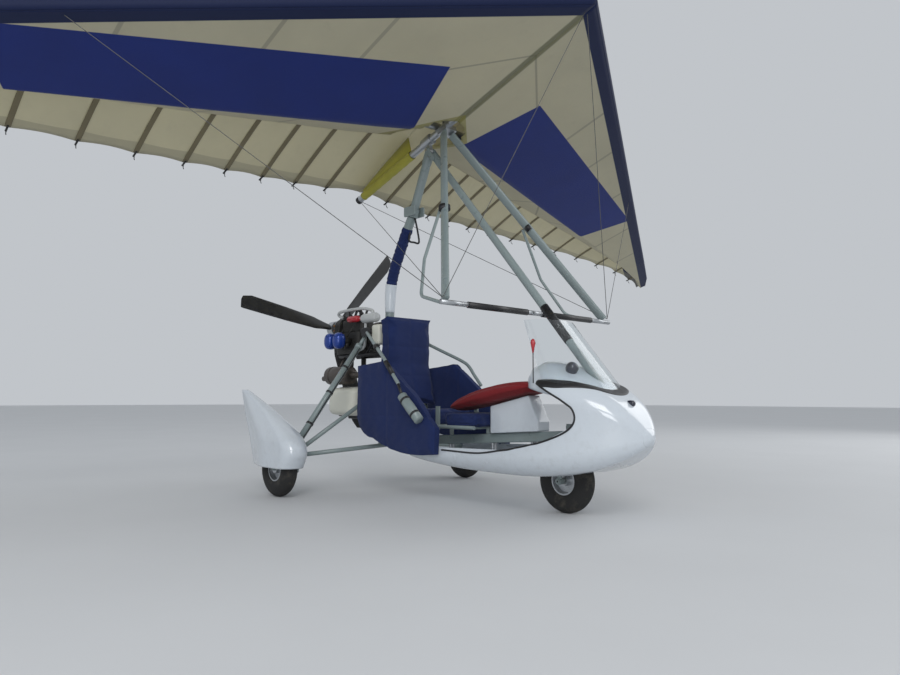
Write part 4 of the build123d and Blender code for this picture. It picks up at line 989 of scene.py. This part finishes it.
def make_engine(context):
    """Upright twin with its gearbox, carburettors, exhaust, mount, pipes, side links and fuel tank."""
    make_cylinders()
    make_gearbox()
    make_carburettors()
    make_exhaust()
    make_mount()
    make_side_links()
    sleeve = [(0, 0.018), (0.1, 0.025), (0.9, 0.025), (1, 0.018)]
    boot = spun("boot", (-0.300, -0.112, 1.262), (-0.165, -0.112, 1.262), sleeve)
    build("red_boot", [boot], "red_paint")
    loop = [(-0.330, -0.030, 1.300), (-0.300, -0.034, 1.352), (-0.255, -0.034, 1.352),
            (-0.225, -0.030, 1.300)]
    build("loop", [pipe("bow", loop, 0.006, 12)], "black")
    tank = block("tank", TANK_PLACE, TANK_SIZE, TANK_POWER, 40, 72)
    build("fuel_cell", [tank], "tank", ["fuel_tank"])
    build("tank_straps", [strap_round(y) for y in (-0.13, 0.13)], "strap")
    ribs = [block("rib", (ENGINE_X, 0.0, 1.010 + 0.021 * k), (0.306, 0.216, 0.007), 9.0, 10, 48)
            for k in range(7)]
    pulley = [(0, 0.060), (0.3, 0.052), (0.7, 0.052), (1, 0.060)]
    ribs.append(spun("pulley", (-0.118, 0, 1.10), (-0.100, 0, 1.10), pulley, 40))
    build("crankcase_ribs", ribs, "engine")


def disc(name, start, end, radius, sides=28):
    """Turned solid of one radius."""
    return spun(name, start, end, [(0, radius), (1, radius)], sides)


def make_cylinders():
    """Cooling jacket, two finned barrels, head cover with its nuts, and the caps of four spark plugs."""
    pieces = [block("jacket", (ENGINE_X, 0.0, 1.219), (0.272, 0.132, 0.110), 7.0, 30, 60)]
    fins = [(0, 0.062)] + [(k / 12, 0.064 if k % 2 else 0.070) for k in range(1, 12)] + [(1, 0.062)]
    pieces += [spun("barrel", (f, 0, 1.165), (f, 0, 1.262), fins, 40) for f in CYLINDERS]
    pieces.append(block("cover", (ENGINE_X, 0.0, 1.286), (0.262, 0.122, 0.030), 7.0, 20, 60))
    for middle in CYLINDERS:
        for side in (-1, 1):
            for fore in (-1, 1):
                spot = (middle + fore * NUT_SPREAD, side * NUT_SPREAD)
                pieces.append(disc("nut", (*spot, 1.298), (*spot, 1.309), 0.008, 6))
    build("cylinder_block", pieces, "engine", ["engine_heads"])
    caps = []
    for middle in CYLINDERS:
        for side in (-1, 1):
            line = [(middle + f, side * y, z) for f, y, z in PLUG_CAP]
            caps.append(pipe("cap", line, (0.010, 0.009, 0.007, 0.004), 12, 24))
    build("plug_caps", caps, "black")


def make_gearbox():
    """Gearbox case round two shafts, the propeller's shaft and the starter."""
    outline = lobes((0.0, PROP_Z), 0.074, (0.0, PROP_Z - 0.110), 0.092)
    gear = soften(plate("gearbox_case", outline, -0.4803, -0.5503, "x"), 0.008)
    put(gear, "engine", ["gearbox"])
    starter = [(0, 0.03), (0.1, 0.036), (0.9, 0.036), (1, 0.03)]
    build("gear_shaft", [
        bar("shaft", (-0.550, 0.0, PROP_Z), (-0.612, 0.0, PROP_Z), 0.016),
        spun("starter", (-0.478, 0.095, 1.045), (-0.36, 0.095, 1.045), starter),
    ], "steel")


def make_carburettors():
    """Two air filters, and two carburettors with bowl, clamp band and cable."""
    filters = [block("filter", (f, -0.210, 1.092), (0.092, 0.094, 0.126), 2.5, 28, 44) for f in CARBURETTORS]
    bodies = []
    for f in CARBURETTORS:
        bodies += [
            bar("carb", (f, -0.1053, 1.093), (f, -0.180, 1.092), 0.026, 24),
            bar("bowl", (f, -0.138, 1.036), (f, -0.138, 1.092), 0.020, 24),
            disc("band", (f, -0.163, 1.092), (f, -0.172, 1.092), 0.031),
            bar("cable", (f, -0.138, 1.120), (f + 0.05, -0.120, 1.200), 0.004, 10),
        ]
    build("air_filters", filters, "blue_metal")
    build("carburettor_bodies", bodies, "engine", ["carburettors"])


def make_exhaust():
    """Two stubs, a chamber on the left, a pipe across under the engine, a muffler on the right."""
    pieces = [bar("stub", (f, 0.066, CHAMBER_Z), (f, CHAMBER_Y, CHAMBER_Z), 0.022) for f in CYLINDERS]
    chamber = [(0, 0.02), (0.12, 0.052), (0.25, 0.060), (0.75, 0.060), (0.9, 0.048), (1, 0.022)]
    ends = ((-0.470, CHAMBER_Y, CHAMBER_Z), (-0.160, CHAMBER_Y, CHAMBER_Z))
    pieces.append(spun("chamber", *ends, chamber, 36))
    across = [(-0.170, CHAMBER_Y, CHAMBER_Z), (-0.110, CHAMBER_Y, 1.200), (CROSS_X, CHAMBER_Y, 1.140),
              (CROSS_X, CHAMBER_Y, 0.900), (CROSS_X, 0.215, 0.840), (CROSS_X, 0.150, 0.826),
              (CROSS_X, -0.110, 0.826), (-0.110, -0.165, 0.826), (-0.170, MUFFLER_Y, 0.826)]
    pieces.append(pipe("crossover", across, 0.022, 20, 120))
    muffler = [(0, 0.030), (0.02, 0.064), (0.05, 0.069), (0.5, 0.070), (0.95, 0.069), (0.98, 0.064),
               (1, 0.030)]
    ends = ((-0.160, MUFFLER_Y, MUFFLER_Z), (-0.440, MUFFLER_Y, MUFFLER_Z))
    pieces.append(spun("muffler", *ends, muffler, 40))
    pieces.append(bar("tail", (-0.435, MUFFLER_Y, 0.805), (-0.530, MUFFLER_Y, 0.805), 0.020, 24))
    for f in (-0.230, -0.370):
        ends = ((f, MUFFLER_Y, MUFFLER_Z), (f - 0.016, MUFFLER_Y, MUFFLER_Z))
        pieces.append(disc("strap", *ends, 0.0715, 40))
        pieces.append(bar("hanger", (f - 0.008, -0.140, 0.885), (f - 0.008, -0.090, 0.970), 0.006, 10))
    build("exhaust_system", pieces, "burnt", ["exhaust"])


def make_mount():
    """Rails under the crankcase, braces, the legs' cross tube, oil tank, canister and its hoses."""
    pieces = []
    for side in (-1, 1):
        pieces.append(bar("rail", (-0.450, side * 0.085, 0.981), (0.105, side * 0.085, 0.981), 0.014))
        pieces.append(bar("brace", (-0.095, side * 0.085, 0.985), (0.010, side * 0.060, 1.150), 0.011))
        pieces.append(block("end", (0.050, side * 0.204, 1.138), (0.100, 0.009, 0.066), 14.0, 12, 32))
    pieces.append(block("shoe", (0.063, 0.0, 0.981), (0.112, 0.190, 0.028), 12.0))
    pieces.append(bar("cross", (0.0, -0.206, 1.150), (0.0, 0.206, 1.150), 0.016, 24))
    pieces.append(block("head", (0.066, 0.0, 1.150), (0.140, 0.150, 0.026), 12.0))
    build("engine_cradle", pieces, "black", ["engine_mount"])
    box = block("box", (0.140, -0.132, 1.118), (0.095, 0.112, 0.145), 8.0, 30, 50)
    build("oil_tank", [box], "tank")
    cap = spun("cap", (0.140, -0.132, 1.188), (0.140, -0.132, 1.208), [(0, 0.020), (0.7, 0.020), (1, 0.015)])
    build("oil_cap", [cap], "black")
    can = [(0, 0.018), (0.04, 0.032), (0.10, 0.035), (0.9, 0.035), (1, 0.026)]
    high = [(-0.450, -0.062, 1.290), (-0.468, -0.090, 1.316), (-0.405, -0.098, 1.336),
            (-0.150, -0.100, 1.338), (0.000, -0.112, 1.310), (0.030, -0.130, 1.275)]
    low = [(-0.040, -0.140, 1.222), (-0.050, -0.135, 1.120), (-0.085, -0.118, 1.040),
           (-0.180, -0.108, 1.010)]
    build("coolant_can", [
        spun("can", (-0.072, -0.140, 1.250), (0.108, -0.140, 1.250), can, 32),
        pipe("high_hose", high, 0.012, 16),
        pipe("low_hose", low, 0.010, 14),
    ], "pale_hose")


def make_side_links():
    """Bent link on each side, and on the right a bottle in two bands, a clamp, an eye and an adjuster."""
    for side, name in SIDES:
        line = [(0.076, 0.213, 1.132), (0.300, 0.302, 1.018), (0.470, 0.368, 0.932), (0.530, LINK_Y, 0.890),
                (0.590, LINK_Y, 0.822), (0.659, LINK_Y, 0.746)]
        link = pipe("link", [(f, side * y, z) for f, y, z in line], 0.012, 16)
        build(f"side_link_{name}", [link], "frame")
    profile = [(0, 0.020), (0.03, 0.032), (0.5, 0.034), (0.97, 0.032), (1, 0.020)]
    bottle = spun("bottle", BOTTLE_TOP, BOTTLE_TOP + BOTTLE_RUN, profile, 32)
    build("side_bottle", [bottle], "frame")
    fittings = []
    for share in (0.18, 0.72):
        start = BOTTLE_TOP + BOTTLE_RUN * share
        fittings.append(bar("band", start, start + np.array([0.012, 0.0, -0.0107]), 0.0352, 28))
    clamp = [(0, 0.016), (0.2, 0.022), (0.8, 0.022), (1, 0.016)]
    fittings.append(spun("clamp", (0.300, -0.302, 1.018), (0.345, -0.320, 0.995), clamp))
    fittings.append(bar("eye", (0.650, -LINK_Y, 0.757), (0.712, -0.3925, 0.661), 0.0095, 16))
    fittings.append(bar("adjuster", (0.520, -0.384, 0.897), (0.600, -LINK_Y, 0.811), 0.0165, 20))
    build("link_fittings", fittings, "black")


def strap_round(y):
    """Webbing band round the tank's section at one place along Y: a superellipse ring, 2 mm proud."""
    a = np.linspace(0, 2 * math.pi, 96, endpoint=False)
    c, s = np.cos(a), np.sin(a)
    length = (np.abs(c) ** TANK_POWER + np.abs(s) ** TANK_POWER) ** (-1 / TANK_POWER)
    half_x, half_z = 0.5 * TANK_SIZE[0] + 0.0005, 0.5 * TANK_SIZE[2] + 0.0005
    rows = []
    for across, grow in ((-0.5, 0.0), (-0.5, 0.0022), (0.5, 0.0022), (0.5, 0.0)):
        flat_y = np.full_like(a, y + across * STRAP_WIDTH)
        ring = np.stack([(half_x + grow) * length * c, flat_y, (half_z + grow) * length * s], -1)
        rows.append(at(*TANK_PLACE) + ring)
    return grid("strap", np.stack(rows), wrap_rows=True, wrap_cols=True)


# Propeller

BLADE_LENGTH = 0.861
BLADE_CHORD = 0.150
FIRST_BLADE = 169.0  # angle of the first blade from +Y, in degrees
HUB_BOLTS = 0.040  # radius of the bolts' circle
BLADE_ROWS = np.array([  # share of the radius, chord share, thickness, extra pitch, shift in chords
    (0.070, 0.40, 0.034, 22.0, 0.00),
    (0.240, 0.84, 0.022, 13.0, 0.00),
    (0.550, 0.88, 0.014, 4.0, 0.00),
    (0.900, 0.86, 0.009, -3.0, 0.00),
    (0.985, 0.70, 0.006, -4.0, 0.08),
    (1.000, 0.48, 0.004, -4.0, 0.17),
])


def make_propeller(context):
    """Hub bolts and three blades: cambered ellipses of chord c and thickness t, turned to the pitch."""
    share = np.concatenate([np.linspace(0.07, 0.97, 40), np.linspace(0.975, 1.0, 8)])
    chord, thick, extra, shift = (np.interp(share, BLADE_ROWS[:, 0], BLADE_ROWS[:, k]) for k in (1, 2, 3, 4))
    a = np.linspace(0, 2 * math.pi, 32, endpoint=False)
    camber = 0.35 * np.cos(a) ** 2 - 0.2
    pitch = np.radians(BLADE_PITCH + extra)[:, None]
    blades = []
    for blade in range(3):
        angle = math.radians(FIRST_BLADE + 120.0 * blade)
        out = np.array([0.0, math.cos(angle), math.sin(angle)])
        tangent = np.array([0.0, -math.sin(angle), math.cos(angle)])
        along = tangent * np.cos(pitch) + np.array([1.0, 0, 0]) * np.sin(pitch)
        across = np.cross(out, along)
        centre = at(PROP_X, 0.0, PROP_Z) + out * (BLADE_LENGTH * share)[:, None]
        centre = centre + along * (shift * BLADE_CHORD)[:, None]
        ring = (along[:, None] * (np.cos(a)[None] * (0.5 * BLADE_CHORD * chord)[:, None])[..., None]
                + across[:, None] * ((np.sin(a) + camber)[None] * (0.5 * thick)[:, None])[..., None])
        blades.append(rings_solid("blade", centre[:, None] + ring))
    build("propeller_blades", blades, "prop", ["prop_blades"], "propeller")
    bolts = []
    for k in range(6):
        angle = math.radians(30 + 60 * k)
        spot = (HUB_BOLTS * math.cos(angle), PROP_Z + HUB_BOLTS * math.sin(angle))
        bolts.append(disc("bolt", (-0.688, *spot), (-0.603, *spot), 0.008, 6))
    rim = [(0, 0.050), (0.5, 0.056), (1, 0.056)]
    bolts.append(spun("plate", (-0.688, 0, PROP_Z), (-0.678, 0, PROP_Z), rim, 36))
    build("hub_bolts", bolts, "bronze", body="propeller")


# Wing fittings

POCKET_TOP = 0.031  # where the keel pocket's web starts over the keel
BARE_R = 0.0145
GRIP_R = 0.0185


def bar_piece(name, start, end, radius):
    """Round piece along the control bar between two places across."""
    return tube(name, [(BAR_X, start, BAR_Z), (BAR_X, end, BAR_Z)], radius, 24, 2)


def make_wing_fittings(context):
    """Keel pocket and its web, keel end cap, bar grips and ends, tube clamps."""
    s = np.linspace(1.742, 2.368, 60)
    u = np.linspace(0, 1, 60)
    radius = 0.0315 + 0.0016 * np.sin(u * 47.0) * np.sin(u * 11.0)
    pocket = grid("pocket", tube_points(wing(s, 0.0, 0.0), radius, 28), wrap_cols=True)
    top = upper_n(s, *station(0.0)) - SKIN - 0.003
    web = grid("web", np.stack([wing(s, 0.0, n) for n in (POCKET_TOP, 0.5 * (POCKET_TOP + top), top)]))
    cover = solid(join("keel_pocket", [outward(pocket), web]), SLEEVE_CLOTH)
    put(cover, "yellow", body="wing")
    cap = [(0, 0.0285), (0.8, 0.0285), (1, 0.02)]
    black = [turned("keel_cap", wing(2.415, 0, 0), wing(2.452, 0, 0), cap)]
    bare = [bar_piece("middle", -0.068, 0.068, BARE_R)]
    for side in (-1, 1):
        apex = wing(APEX_S, side * 0.038, -0.0637)
        run = np.array([BAR_X, side * 0.742, BAR_Z]) - apex
        spot = apex + run * 0.497
        black.append(tube("clamp", [spot, spot + run * 0.022], 0.037, 24, 2, 0.62))
        black.append(bar_piece("grip", side * 0.07, side * 0.57, GRIP_R))
        bare.append(bar_piece("end", side * 0.572, side * 0.777, BARE_R))
    build("wing_black_fittings", black, "black", body="wing")
    build("bar_bare", bare, "alloy", body="wing")


# Padded cloth

PADS = (  # node, piece, inset of the start shape, furthest move, fill, voxel
    ("rear_seat", "rear_cushion", 0.010, 0.020, 0.8, 0.008),
    ("front_seat", "front_cushion", 0.010, 0.018, 0.8, 0.008),
    ("seat_back", "back_cushion", 0.012, 0.024, 0.7, 0.011),
    ("pannier_left", "side_bag_left", 0.008, 0.016, 0.4, 0.011),
    ("pannier_right", "side_bag_right", 0.008, 0.016, 0.4, 0.011),
)
PRESSURE_STEPS = 20
SEAM_DEPTH, SEAM_WIDTH = 0.006, 0.007


def voxel_copy(node, name, voxel):
    """Closed, evenly meshed copy of a CAD solid."""
    pad = bpy.data.objects.new(name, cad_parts[node].data.copy())
    bpy.context.scene.collection.objects.link(pad)
    return remesh(pad, voxel)


def remesh(pad, voxel):
    """Weld a piece and mesh it again in even squares."""
    bpy.ops.object.select_all(action="DESELECT")
    bpy.context.view_layer.objects.active = pad
    pad.select_set(True)
    bpy.ops.object.mode_set(mode="EDIT")
    bpy.ops.mesh.select_all(action="SELECT")
    bpy.ops.mesh.remove_doubles(threshold=0.00005)
    bpy.ops.mesh.normals_make_consistent(inside=False)
    bpy.ops.object.mode_set(mode="OBJECT")
    pad.data.remesh_voxel_size = voxel
    bpy.ops.object.voxel_remesh()
    return pad


def vertices(obj, attribute):
    """One attribute of every vertex, co or normal, as an array."""
    out = np.empty(len(obj.data.vertices) * 3)
    obj.data.vertices.foreach_get(attribute, out)
    return out.reshape(-1, 3)


def inflate(pad, inset, cap):
    """Shrink a piece along its normals, blow it up with cloth pressure and hold its moves to the cap."""
    start = vertices(pad, "co") - vertices(pad, "normal") * inset
    pad.data.vertices.foreach_set("co", start.ravel())
    pad.data.update()
    cloth = pad.modifiers.new("cloth", "CLOTH")
    settings = cloth.settings
    settings.quality = 4
    settings.mass = 0.3
    settings.use_pressure = True
    settings.uniform_pressure_force = 4.0
    settings.effector_weights.gravity = 0.0
    cloth.collision_settings.use_collision = False
    cloth.point_cache.frame_start, cloth.point_cache.frame_end = 1, PRESSURE_STEPS
    for step in range(1, PRESSURE_STEPS + 1):
        bpy.context.scene.frame_set(step)
    move = vertices(pad.evaluated_get(bpy.context.evaluated_depsgraph_get()), "co") - start
    reach = np.linalg.norm(move, axis=1, keepdims=True)
    move *= np.minimum(1.0, cap / np.maximum(reach, 1e-9))
    pad.modifiers.remove(cloth)
    pad.data.vertices.foreach_set("co", (start + move).ravel())
    bpy.context.scene.frame_set(1)
    return pad


def finish_pad(pad, finish, replaces, fill, body="trike"):
    smooth = pad.modifiers.new("smooth", "SMOOTH")
    smooth.factor, smooth.iterations = 0.5, 4
    bpy.context.view_layer.objects.active = pad
    bpy.ops.object.modifier_apply(modifier=smooth.name)
    rounder = pad.modifiers.new("subdivision", "SUBSURF")
    rounder.levels = rounder.render_levels = 1
    bpy.ops.object.modifier_apply(modifier=rounder.name)
    pad.data.polygons.foreach_set("use_smooth", np.ones(len(pad.data.polygons), bool))
    put(pad, finish, replaces, body)


def make_upholstery(context):
    """Blow up every seat pad and side bag from its solid, press sewn lines in, add the red backrest."""
    for node, name, inset, cap, fill, voxel in PADS:
        pad = inflate(voxel_copy(node, name, voxel), inset, cap)
        sew(pad, node)
        finish_pad(pad, "navy", [node], fill)
    make_red_backrest()


def sew(pad, node):
    """Press sewn lines in: the surface sinks by depth * exp(-(distance / width)^2) along its normal."""
    co = vertices(pad, "co")
    normals = vertices(pad, "normal")
    low, high = co.min(0), co.max(0)

    def between(axis, share):
        """A line's axis and its place there."""
        return axis, low[axis] + share * (high[axis] - low[axis])

    if node == "seat_back":
        lines = [(1, 0.0), between(2, 0.33), between(2, 0.66)]
    elif node.endswith("_seat"):
        lines = [between(2, 0.5)]
    else:
        lines = [between(2, 0.40), between(0, 0.42)]
    sink = np.zeros(len(co))
    for axis, value in lines:
        sink = np.maximum(sink, SEAM_DEPTH * np.exp(-((co[:, axis] - value) / SEAM_WIDTH) ** 2))
    x, y, z = co.T
    wave = 0.0016 * (np.sin(x * 61 + 3 * np.sin(z * 23)) * np.sin(z * 47 + 2 * np.sin(y * 31)))
    co += normals * (wave - sink)[:, None]
    pad.data.vertices.foreach_set("co", co.ravel())
    pad.data.update()


def make_red_backrest():
    """Folded backrest: rounded sections up a slope, thickness crowned as sin^0.55, sewn in on both sides."""
    u = np.linspace(0, 1, 80)
    crown = np.sin(math.pi * np.clip(u * 0.93 + 0.035, 0, 1)) ** 0.55
    low = np.interp(u, (0, 0.5, 1), (0.570, 0.634, 0.708))
    high = low + 0.010 + 0.080 * crown
    half = 0.163 * np.minimum(1.0, (np.sin(math.pi * np.clip(u * 0.97 + 0.015, 0, 1))) ** 0.16)
    a = np.linspace(0, 2 * math.pi, 64, endpoint=False)
    c, s = np.cos(a), np.sin(a)
    x = np.broadcast_to((REAR_X + (0.826 + 0.756 * u))[:, None], (len(u), len(a)))
    y = half[:, None] * (np.sign(c) * np.abs(c) ** 0.55)
    z = (0.5 * (low + high))[:, None] + (0.5 * (high - low))[:, None] * (np.sign(s) * np.abs(s) ** 0.75)
    pad = outward(rings_solid("red_backrest", np.stack([x, y, z], -1)))
    pad = inflate(remesh(pad, 0.008), 0.006, 0.012)
    co, normals = vertices(pad, "co"), vertices(pad, "normal")
    edge = 0.005 * np.exp(-((np.abs(co[:, 1]) - 0.120) / 0.006) ** 2) * (normals[:, 2] > 0.2)
    co -= normals * edge[:, None]
    pad.data.vertices.foreach_set("co", co.ravel())
    finish_pad(pad, "red", ["front_backrest"], 0.7, "front_backrest")


# Finishes of the CAD nodes

def finish_nodes():
    """Give every CAD node its own finish."""
    for key, names in NODE_FINISH.items():
        for name in names:
            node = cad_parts[name]
            node.data.materials.clear()
            node.data.materials.append(MATERIALS[key])


# Stage

CAMERA_PLACE = (3.626, -3.368, 0.655)
CAMERA_TURN = (46.85, 4.80, 0.15)  # yaw, pitch and roll in degrees
CAMERA_LENS = 28.86
LAMP_AIM = Vector((0.2, 0.0, 1.3))
LAMPS = (  # name, place, size, share of the key lamp's power
    ("key", (9.0, -9.0, 9.0), 6.0, 1.0),
    ("fill", (4.0, 10.0, 6.0), 8.0, 0.5),
    ("low", (8.0, -8.0, 2.2), 3.0, 0.20),
)
FLOOR_HALF = 60.0


def add_object(name, data):
    """New object in the scene for some data."""
    obj = bpy.data.objects.new(name, data)
    bpy.context.scene.collection.objects.link(obj)
    return obj


def make_stage(context):
    """Pale floor, soft lamps, plain world and the photograph's camera."""
    p = context.scene.microlight
    edge = np.array([-FLOOR_HALF, FLOOR_HALF])
    x, y = np.meshgrid(edge, edge, indexing="ij")
    floor = grid("floor", np.stack([x, y, np.zeros_like(x)], -1))
    n = Nodes("floor_pale")
    tone = n.mix(n.noise(0.8, 4.0), (0.60, 0.61, 0.62), (0.66, 0.67, 0.68))
    n.feed(Base_Color=tone, Roughness=0.8)
    floor.data.materials.append(n.material)
    for name, place, size, share in LAMPS:
        data = bpy.data.lights.new(name, "AREA")
        data.size, data.energy = size, p.key_power * share
        lamp = add_object(name, data)
        lamp.location = place
        lamp.rotation_euler = (LAMP_AIM - Vector(place)).to_track_quat("-Z", "Y").to_euler()
    world = bpy.data.worlds.new("soft_sky")
    context.scene.world = world
    world.use_nodes = True
    background = world.node_tree.nodes["Background"]
    background.inputs[0].default_value = (0.86, 0.90, 0.95, 1.0)
    background.inputs[1].default_value = p.sky
    data = bpy.data.cameras.new("camera")
    data.lens, data.sensor_width = CAMERA_LENS, 36.0
    data.clip_end = 300.0
    camera = add_object("camera", data)
    yaw, pitch, roll = (math.radians(v) for v in CAMERA_TURN)
    ahead = np.array([-math.sin(yaw) * math.cos(pitch), math.cos(yaw) * math.cos(pitch), math.sin(pitch)])
    right = np.array([math.cos(yaw), math.sin(yaw), 0.0])
    above = np.cross(right, ahead)
    rolled_right = right * math.cos(roll) + above * math.sin(roll)
    rolled_above = above * math.cos(roll) - right * math.sin(roll)
    turn = Matrix((rolled_right, rolled_above, -ahead)).transposed()
    camera.matrix_world = Matrix.Translation(CAMERA_PLACE) @ turn.to_4x4()
    context.scene.camera = camera
    context.scene.view_settings.view_transform = "Standard"


# Operators

def colour_setting(name, description, default):
    """Colour setting."""
    return FloatVectorProperty(name=name, description=description, subtype="COLOR", size=3,
                               default=default, min=0.0, max=1.0)


class MicrolightSettings(PropertyGroup):
    """Sizes and colours that a user may change."""

    cloth: colour_setting("Sailcloth", "Colour of the sail", (0.74, 0.70, 0.53))
    panel_blue: colour_setting("Wing panel", "Colour of the broad panel under each wing half",
                               (0.007, 0.034, 0.29))
    navy: colour_setting("Navy cloth", "Colour of the seats, bags and leading edge", (0.004, 0.017, 0.095))
    red: colour_setting("Front backrest", "Colour of the folding backrest", (0.21, 0.007, 0.011))
    shell: colour_setting("Shells", "Colour of the pod and the spats", (0.62, 0.67, 0.72))
    frame_paint: colour_setting("Frame paint", "Colour of the painted tubes", (0.23, 0.28, 0.28))
    alloy: colour_setting("Bare alloy", "Colour of the bare tubes", (0.50, 0.52, 0.54))
    engine_blue: colour_setting("Air filters", "Colour of the air filters", (0.012, 0.05, 0.30))
    scallop: FloatProperty(name="Scallop", description="How far the trailing edge curves in between battens",
                           default=0.022, min=0.0, max=0.06, unit="LENGTH")
    billow: FloatProperty(name="Billow", description="How far the cloth sinks between battens",
                          default=0.010, min=0.0, max=0.03, unit="LENGTH")
    key_power: FloatProperty(name="Key lamp", description="Power of the main lamp",
                             default=620.0, min=0.0, unit="POWER")
    sky: FloatProperty(name="Sky", description="Strength of the plain sky", default=0.62, min=0.0, max=3.0)


class MICROLIGHT_OT_finishes(Operator):
    """Make the materials and give every CAD node its finish"""

    bl_idname = "microlight.finishes"
    bl_label = "Finishes"

    def execute(self, context):
        MATERIALS.update(make_materials(context.scene.microlight))
        finish_nodes()
        return {"FINISHED"}


class MICROLIGHT_OT_stage(Operator):
    """Make the floor, the lamps, the sky and the camera"""

    bl_idname = "microlight.stage"
    bl_label = "Stage"

    def execute(self, context):
        make_stage(context)
        return {"FINISHED"}


class MICROLIGHT_OT_wing_cloth(Operator):
    """Make the sail's skins, its battens and its pockets"""

    bl_idname = "microlight.wing_cloth"
    bl_label = "Wing cloth"

    def execute(self, context):
        make_wing_cloth(context)
        return {"FINISHED"}


class MICROLIGHT_OT_mast(Operator):
    """Make the bent mast, its sleeve, its shroud and the strut's sleeve"""

    bl_idname = "microlight.mast"
    bl_label = "Mast"

    def execute(self, context):
        make_mast(context)
        return {"FINISHED"}


class MICROLIGHT_OT_gear(Operator):
    """Make the main gear's legs and tubes"""

    bl_idname = "microlight.gear"
    bl_label = "Main gear"

    def execute(self, context):
        make_gear(context)
        return {"FINISHED"}


class MICROLIGHT_OT_spats(Operator):
    """Make the moulded wheel spats"""

    bl_idname = "microlight.spats"
    bl_label = "Spats"

    def execute(self, context):
        make_spats(context)
        return {"FINISHED"}


class MICROLIGHT_OT_cockpit(Operator):
    """Make the fairing, the console and the instruments"""

    bl_idname = "microlight.cockpit"
    bl_label = "Cockpit"

    def execute(self, context):
        make_cockpit(context)
        return {"FINISHED"}


class MICROLIGHT_OT_engine(Operator):
    """Make the engine and what hangs on its mount"""

    bl_idname = "microlight.engine"
    bl_label = "Engine"

    def execute(self, context):
        make_engine(context)
        return {"FINISHED"}


class MICROLIGHT_OT_propeller(Operator):
    """Make the blades and the hub's bolts"""

    bl_idname = "microlight.propeller"
    bl_label = "Propeller"

    def execute(self, context):
        make_propeller(context)
        return {"FINISHED"}


class MICROLIGHT_OT_wing_fittings(Operator):
    """Make the keel pocket, the bar's grips and the clamps"""

    bl_idname = "microlight.wing_fittings"
    bl_label = "Wing fittings"

    def execute(self, context):
        make_wing_fittings(context)
        return {"FINISHED"}


class MICROLIGHT_OT_upholstery(Operator):
    """Blow up the seat pads and the side bags"""

    bl_idname = "microlight.upholstery"
    bl_label = "Upholstery"

    def execute(self, context):
        make_upholstery(context)
        return {"FINISHED"}


OPERATORS = (MICROLIGHT_OT_finishes, MICROLIGHT_OT_stage, MICROLIGHT_OT_wing_cloth,
             MICROLIGHT_OT_wing_fittings, MICROLIGHT_OT_mast, MICROLIGHT_OT_gear, MICROLIGHT_OT_spats,
             MICROLIGHT_OT_cockpit, MICROLIGHT_OT_engine, MICROLIGHT_OT_propeller,
             MICROLIGHT_OT_upholstery)


class MICROLIGHT_PT_panel(Panel):
    """Lists the sizes, the colours and the operators"""

    bl_idname = "MICROLIGHT_PT_panel"
    bl_label = "Flex-wing microlight"
    bl_space_type = "VIEW_3D"
    bl_region_type = "UI"
    bl_category = "Microlight"

    def draw(self, context):
        for name in MicrolightSettings.__annotations__:
            self.layout.prop(context.scene.microlight, name)
        for operator in OPERATORS:
            self.layout.operator(operator.bl_idname)


CLASSES = (MicrolightSettings, *OPERATORS, MICROLIGHT_PT_panel)


def register():
    """Register the classes and the settings."""
    for item in CLASSES:
        bpy.utils.register_class(item)
    bpy.types.Scene.microlight = PointerProperty(type=MicrolightSettings)


def unregister():
    """Remove the settings and the classes."""
    del bpy.types.Scene.microlight
    for item in reversed(CLASSES):
        bpy.utils.unregister_class(item)


def main():
    """Run every operator in order."""
    register()
    for operator in OPERATORS:
        group, name = operator.bl_idname.split(".")
        getattr(getattr(bpy.ops, group), name)()


if __name__ == "__main__":
    main()
